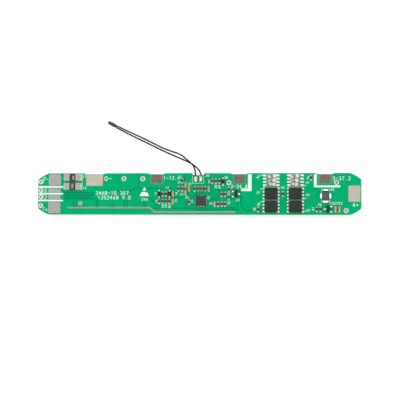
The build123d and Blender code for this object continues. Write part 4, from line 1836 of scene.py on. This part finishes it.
@dataclass
class Legend:
    """The screened legend: plain numbers and signs, marks for the first pins, and outlines.

    Each label is its text, its place, its height and its turn in degrees. Each mark is the place
    and the turn of the next plain number, and each tick a short bar at a place.
    """

    base: float = 1.6
    top: float = 1.63
    crossing: float = 0.002
    advance: float = 0.92
    stroke: float = 0.155
    labels: tuple[tuple[str, float, float, float, float], ...] = (
        ("0-", -59.6, 5.85, 1.25, -14), ("3", -59.63, 1.35, 1.35, 0), ("2", -59.55, -1.45, 1.35, 0),
        ("1+", -59.6, -6.14, 1.3, -18), ("0-", -35.05, 5.91, 1.7, 0),
        ("1-12.4", -10.25, 6.15, 1.2, 0), ("2-24.8", 15.87, 2.79, 1.2, 0),
        ("3-37.2", 55.0, 5.93, 1.3, 0), ("4+", 60.3, -4.35, 1.4, 0),
        ("2468-10 357", -33.36, 0.27, 1.3, 0), ("1352468 9.0", -32.5, -1.51, 1.3, 0),
        ("246", -20.65, -2.2, 0.95, 0), ("135792", 52.85, -3.73, 0.95, 0),
    )
    marks: tuple[Triple, ...] = (
        (-44.33, 6.7, 0), (-44.2, 2.22, 0), (-16.22, -0.11, 90), (-15.97, -3.01, 90),
        (-8.42, -2.81, 90), (-8.35, 0.0, 90), (-11.98, 2.21, 0), (-13.5, -4.98, 90),
        (-12.26, -4.98, 90), (-10.91, -4.98, 90), (-7.16, 4.42, 0), (-3.27, 3.76, 0),
        (-6.3, -0.11, 0), (-4.18, -1.46, 0), (-2.22, -3.0, 90), (3.66, 7.12, 0),
        (4.46, 4.72, 90), (6.91, 2.72, 90), (8.31, 2.66, 90), (10.83, 6.27, 0),
        (11.84, -0.03, 0), (11.98, -3.57, 90), (15.32, -2.42, 0), (5.05, -3.77, 0),
        (4.06, -1.65, 60), (23.1, 6.45, 60), (23.2, 0.4, 0), (23.4, -4.14, 60),
        (21.88, -6.06, 90), (32.6, 2.4, 0), (42.1, 4.32, 0), (42.1, -0.41, 0),
        (42.3, -6.34, 0), (42.3, 6.25, 60), (51.54, 1.63, 0), (46.74, -4.12, 0),
        (44.26, -5.85, 90),
    )
    first_mark: int = 11
    mark_height: float = 0.8
    mark_stroke: float = 0.13
    numeral_width: float = 0.6
    stroke_height: float = 1.2
    ticks: Line = (
        (24.45, 7.22), (24.45, 1.82), (24.45, -3.06), (41.2, 3.17), (41.2, -1.83), (41.2, -6.73))
    tick_length: float = 0.7
    tick_width: float = 0.24
    outlines: tuple[Line, ...] = (
        ((25.3, 2.62), (31.1, 2.62)), ((25.3, -2.45), (31.1, -2.45)),
        ((34.6, 2.62), (40.4, 2.62)), ((34.6, -2.45), (40.4, -2.45)),
        ((26.6, 7.66), (30.6, 7.66)), ((35.1, 7.66), (39.1, 7.66)),
        ((-2.15, 6.9), (-2.15, 4.03), (2.2, 4.03), (2.2, 6.9)),
        ((47.34, 1.1), (47.34, 1.82), (47.8, 1.82)), ((50.1, 1.82), (50.66, 1.82), (50.66, 1.1)),
        ((47.34, -2.5), (47.34, -3.16), (47.8, -3.16)),
        ((50.1, -3.16), (50.66, -3.16), (50.66, -2.5)),
        ((-45.1, 7.75), (-45.1, 1.4)), ((-7.4, 6.9), (-6.6, 6.9), (-6.6, 6.1)),
    )
    outline_width: float = 0.11
    triangle: tuple[Line, ...] = (
        ((-21.5, 1.3), (-20.05, 1.3), (-20.72, 2.6)),
        ((-22.6, -0.89), (-18.9, -0.89), (-19.45, 0.3), (-20.6, 0.72), (-21.85, 0.62)),
    )

    def writing(self, text: str, x: float, y: float, height: float, turn: float,
                stroke: float) -> list[Shape]:
        """A row of numerals and signs round a place.

        Args:
            text: The numerals and signs.
            x: The place of the row's middle.
            y: The place of the row's middle.
            height: The numerals' height.
            turn: The row's turn in degrees.
            stroke: The strokes' width.

        Returns:
            The strokes.
        """
        wide = (len(text) - 1) * self.advance + self.numeral_width
        cosine, sine = math.cos(math.radians(turn)), math.sin(math.radians(turn))
        spin = np.array([[cosine, sine], [-sine, cosine]])
        shapes = []
        for number, sign in enumerate(text):
            for layer, path in enumerate(STROKES.get(sign, ())):
                line = (np.array(path) + (number * self.advance - wide / 2, -0.5)) * height
                closed = bool(np.allclose(line[0], line[-1]))
                line = (line[:-1] if closed else line) @ spin + (x, y)
                shapes.append(ribbon(line, stroke, self.base, self.top - layer * self.crossing,
                                     closed))
        return shapes

    def build(self) -> None:
        """Prints everything as one piece."""
        shapes = []
        for text, x, y, height, turn in self.labels:
            stroke = self.stroke * height / self.stroke_height
            shapes += self.writing(text, x, y, height, turn, stroke)
        for number, (x, y, turn) in enumerate(self.marks, start=self.first_mark):
            shapes += self.writing(str(number), x, y, self.mark_height, turn, self.mark_stroke)
        for x, y in self.ticks:
            ends = [(x - self.tick_length / 2, y), (x + self.tick_length / 2, y)]
            shapes.append(ribbon(ends, self.tick_width, self.base, self.top))
        for outline in self.outlines:
            shapes.append(ribbon(outline, self.outline_width, self.base, self.top))
        for outline in self.triangle:
            shapes.append(prism(outline, self.base, self.top))
        Shape.joined(shapes).piece("screened_legend", "ink")


@dataclass
class CadFinishes:
    """Gives each node of the frame the finish of its slot, and rounds its sharp edges."""

    edge: float = 0.05
    weld_gap: float = 0.0005
    sharp_angle: float = 35
    plain: tuple[str, ...] = ("circuit_board", "separator_bars", "corner_mark_high",
                              "corner_mark_middle")
    special: Mapping[str, Finish] = field(
        default_factory=lambda: {"controller_body": SAWN_MOULDING,
                                 "controller_contacts": CHIP_SOLDER, "resistor_caps": CHIP_SOLDER,
                                 "capacitor_caps": CHIP_SOLDER,
                                 "thermistor_lands": Finishes.of("solder_mask")})

    def build(self) -> None:
        """Dresses every node."""
        for entry in frame["record"]["subparts"]:
            name = entry["node"]
            node = frame["nodes"][name]
            finish = self.special.get(name) or Finishes.of(entry["material_slot"])
            node.data.materials.clear()
            node.data.materials.append(finish.material())
            if name in self.plain:
                continue
            weld = node.modifiers.new("weld", "WELD")
            weld.merge_threshold = self.weld_gap * MM
            bevel = node.modifiers.new("round", "BEVEL")
            bevel.width = self.edge * MM
            bevel.segments = 2
            bevel.limit_method = "ANGLE"
            bevel.angle_limit = math.radians(self.sharp_angle)
            bevel.harden_normals = True


def main() -> None:
    """Builds the studio, then each part of the board in order."""
    logging.basicConfig(level=logging.INFO, format="%(message)s")
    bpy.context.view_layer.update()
    for part in (Studio, BoardFace, Eyelets, TinnedLands, Rail, ChipSolder, PowerSolder,
                 SpareLands, Thermistor, PackageFaces, Legend, CadFinishes):
        part().build()


if __name__ == "__main__":
    main()
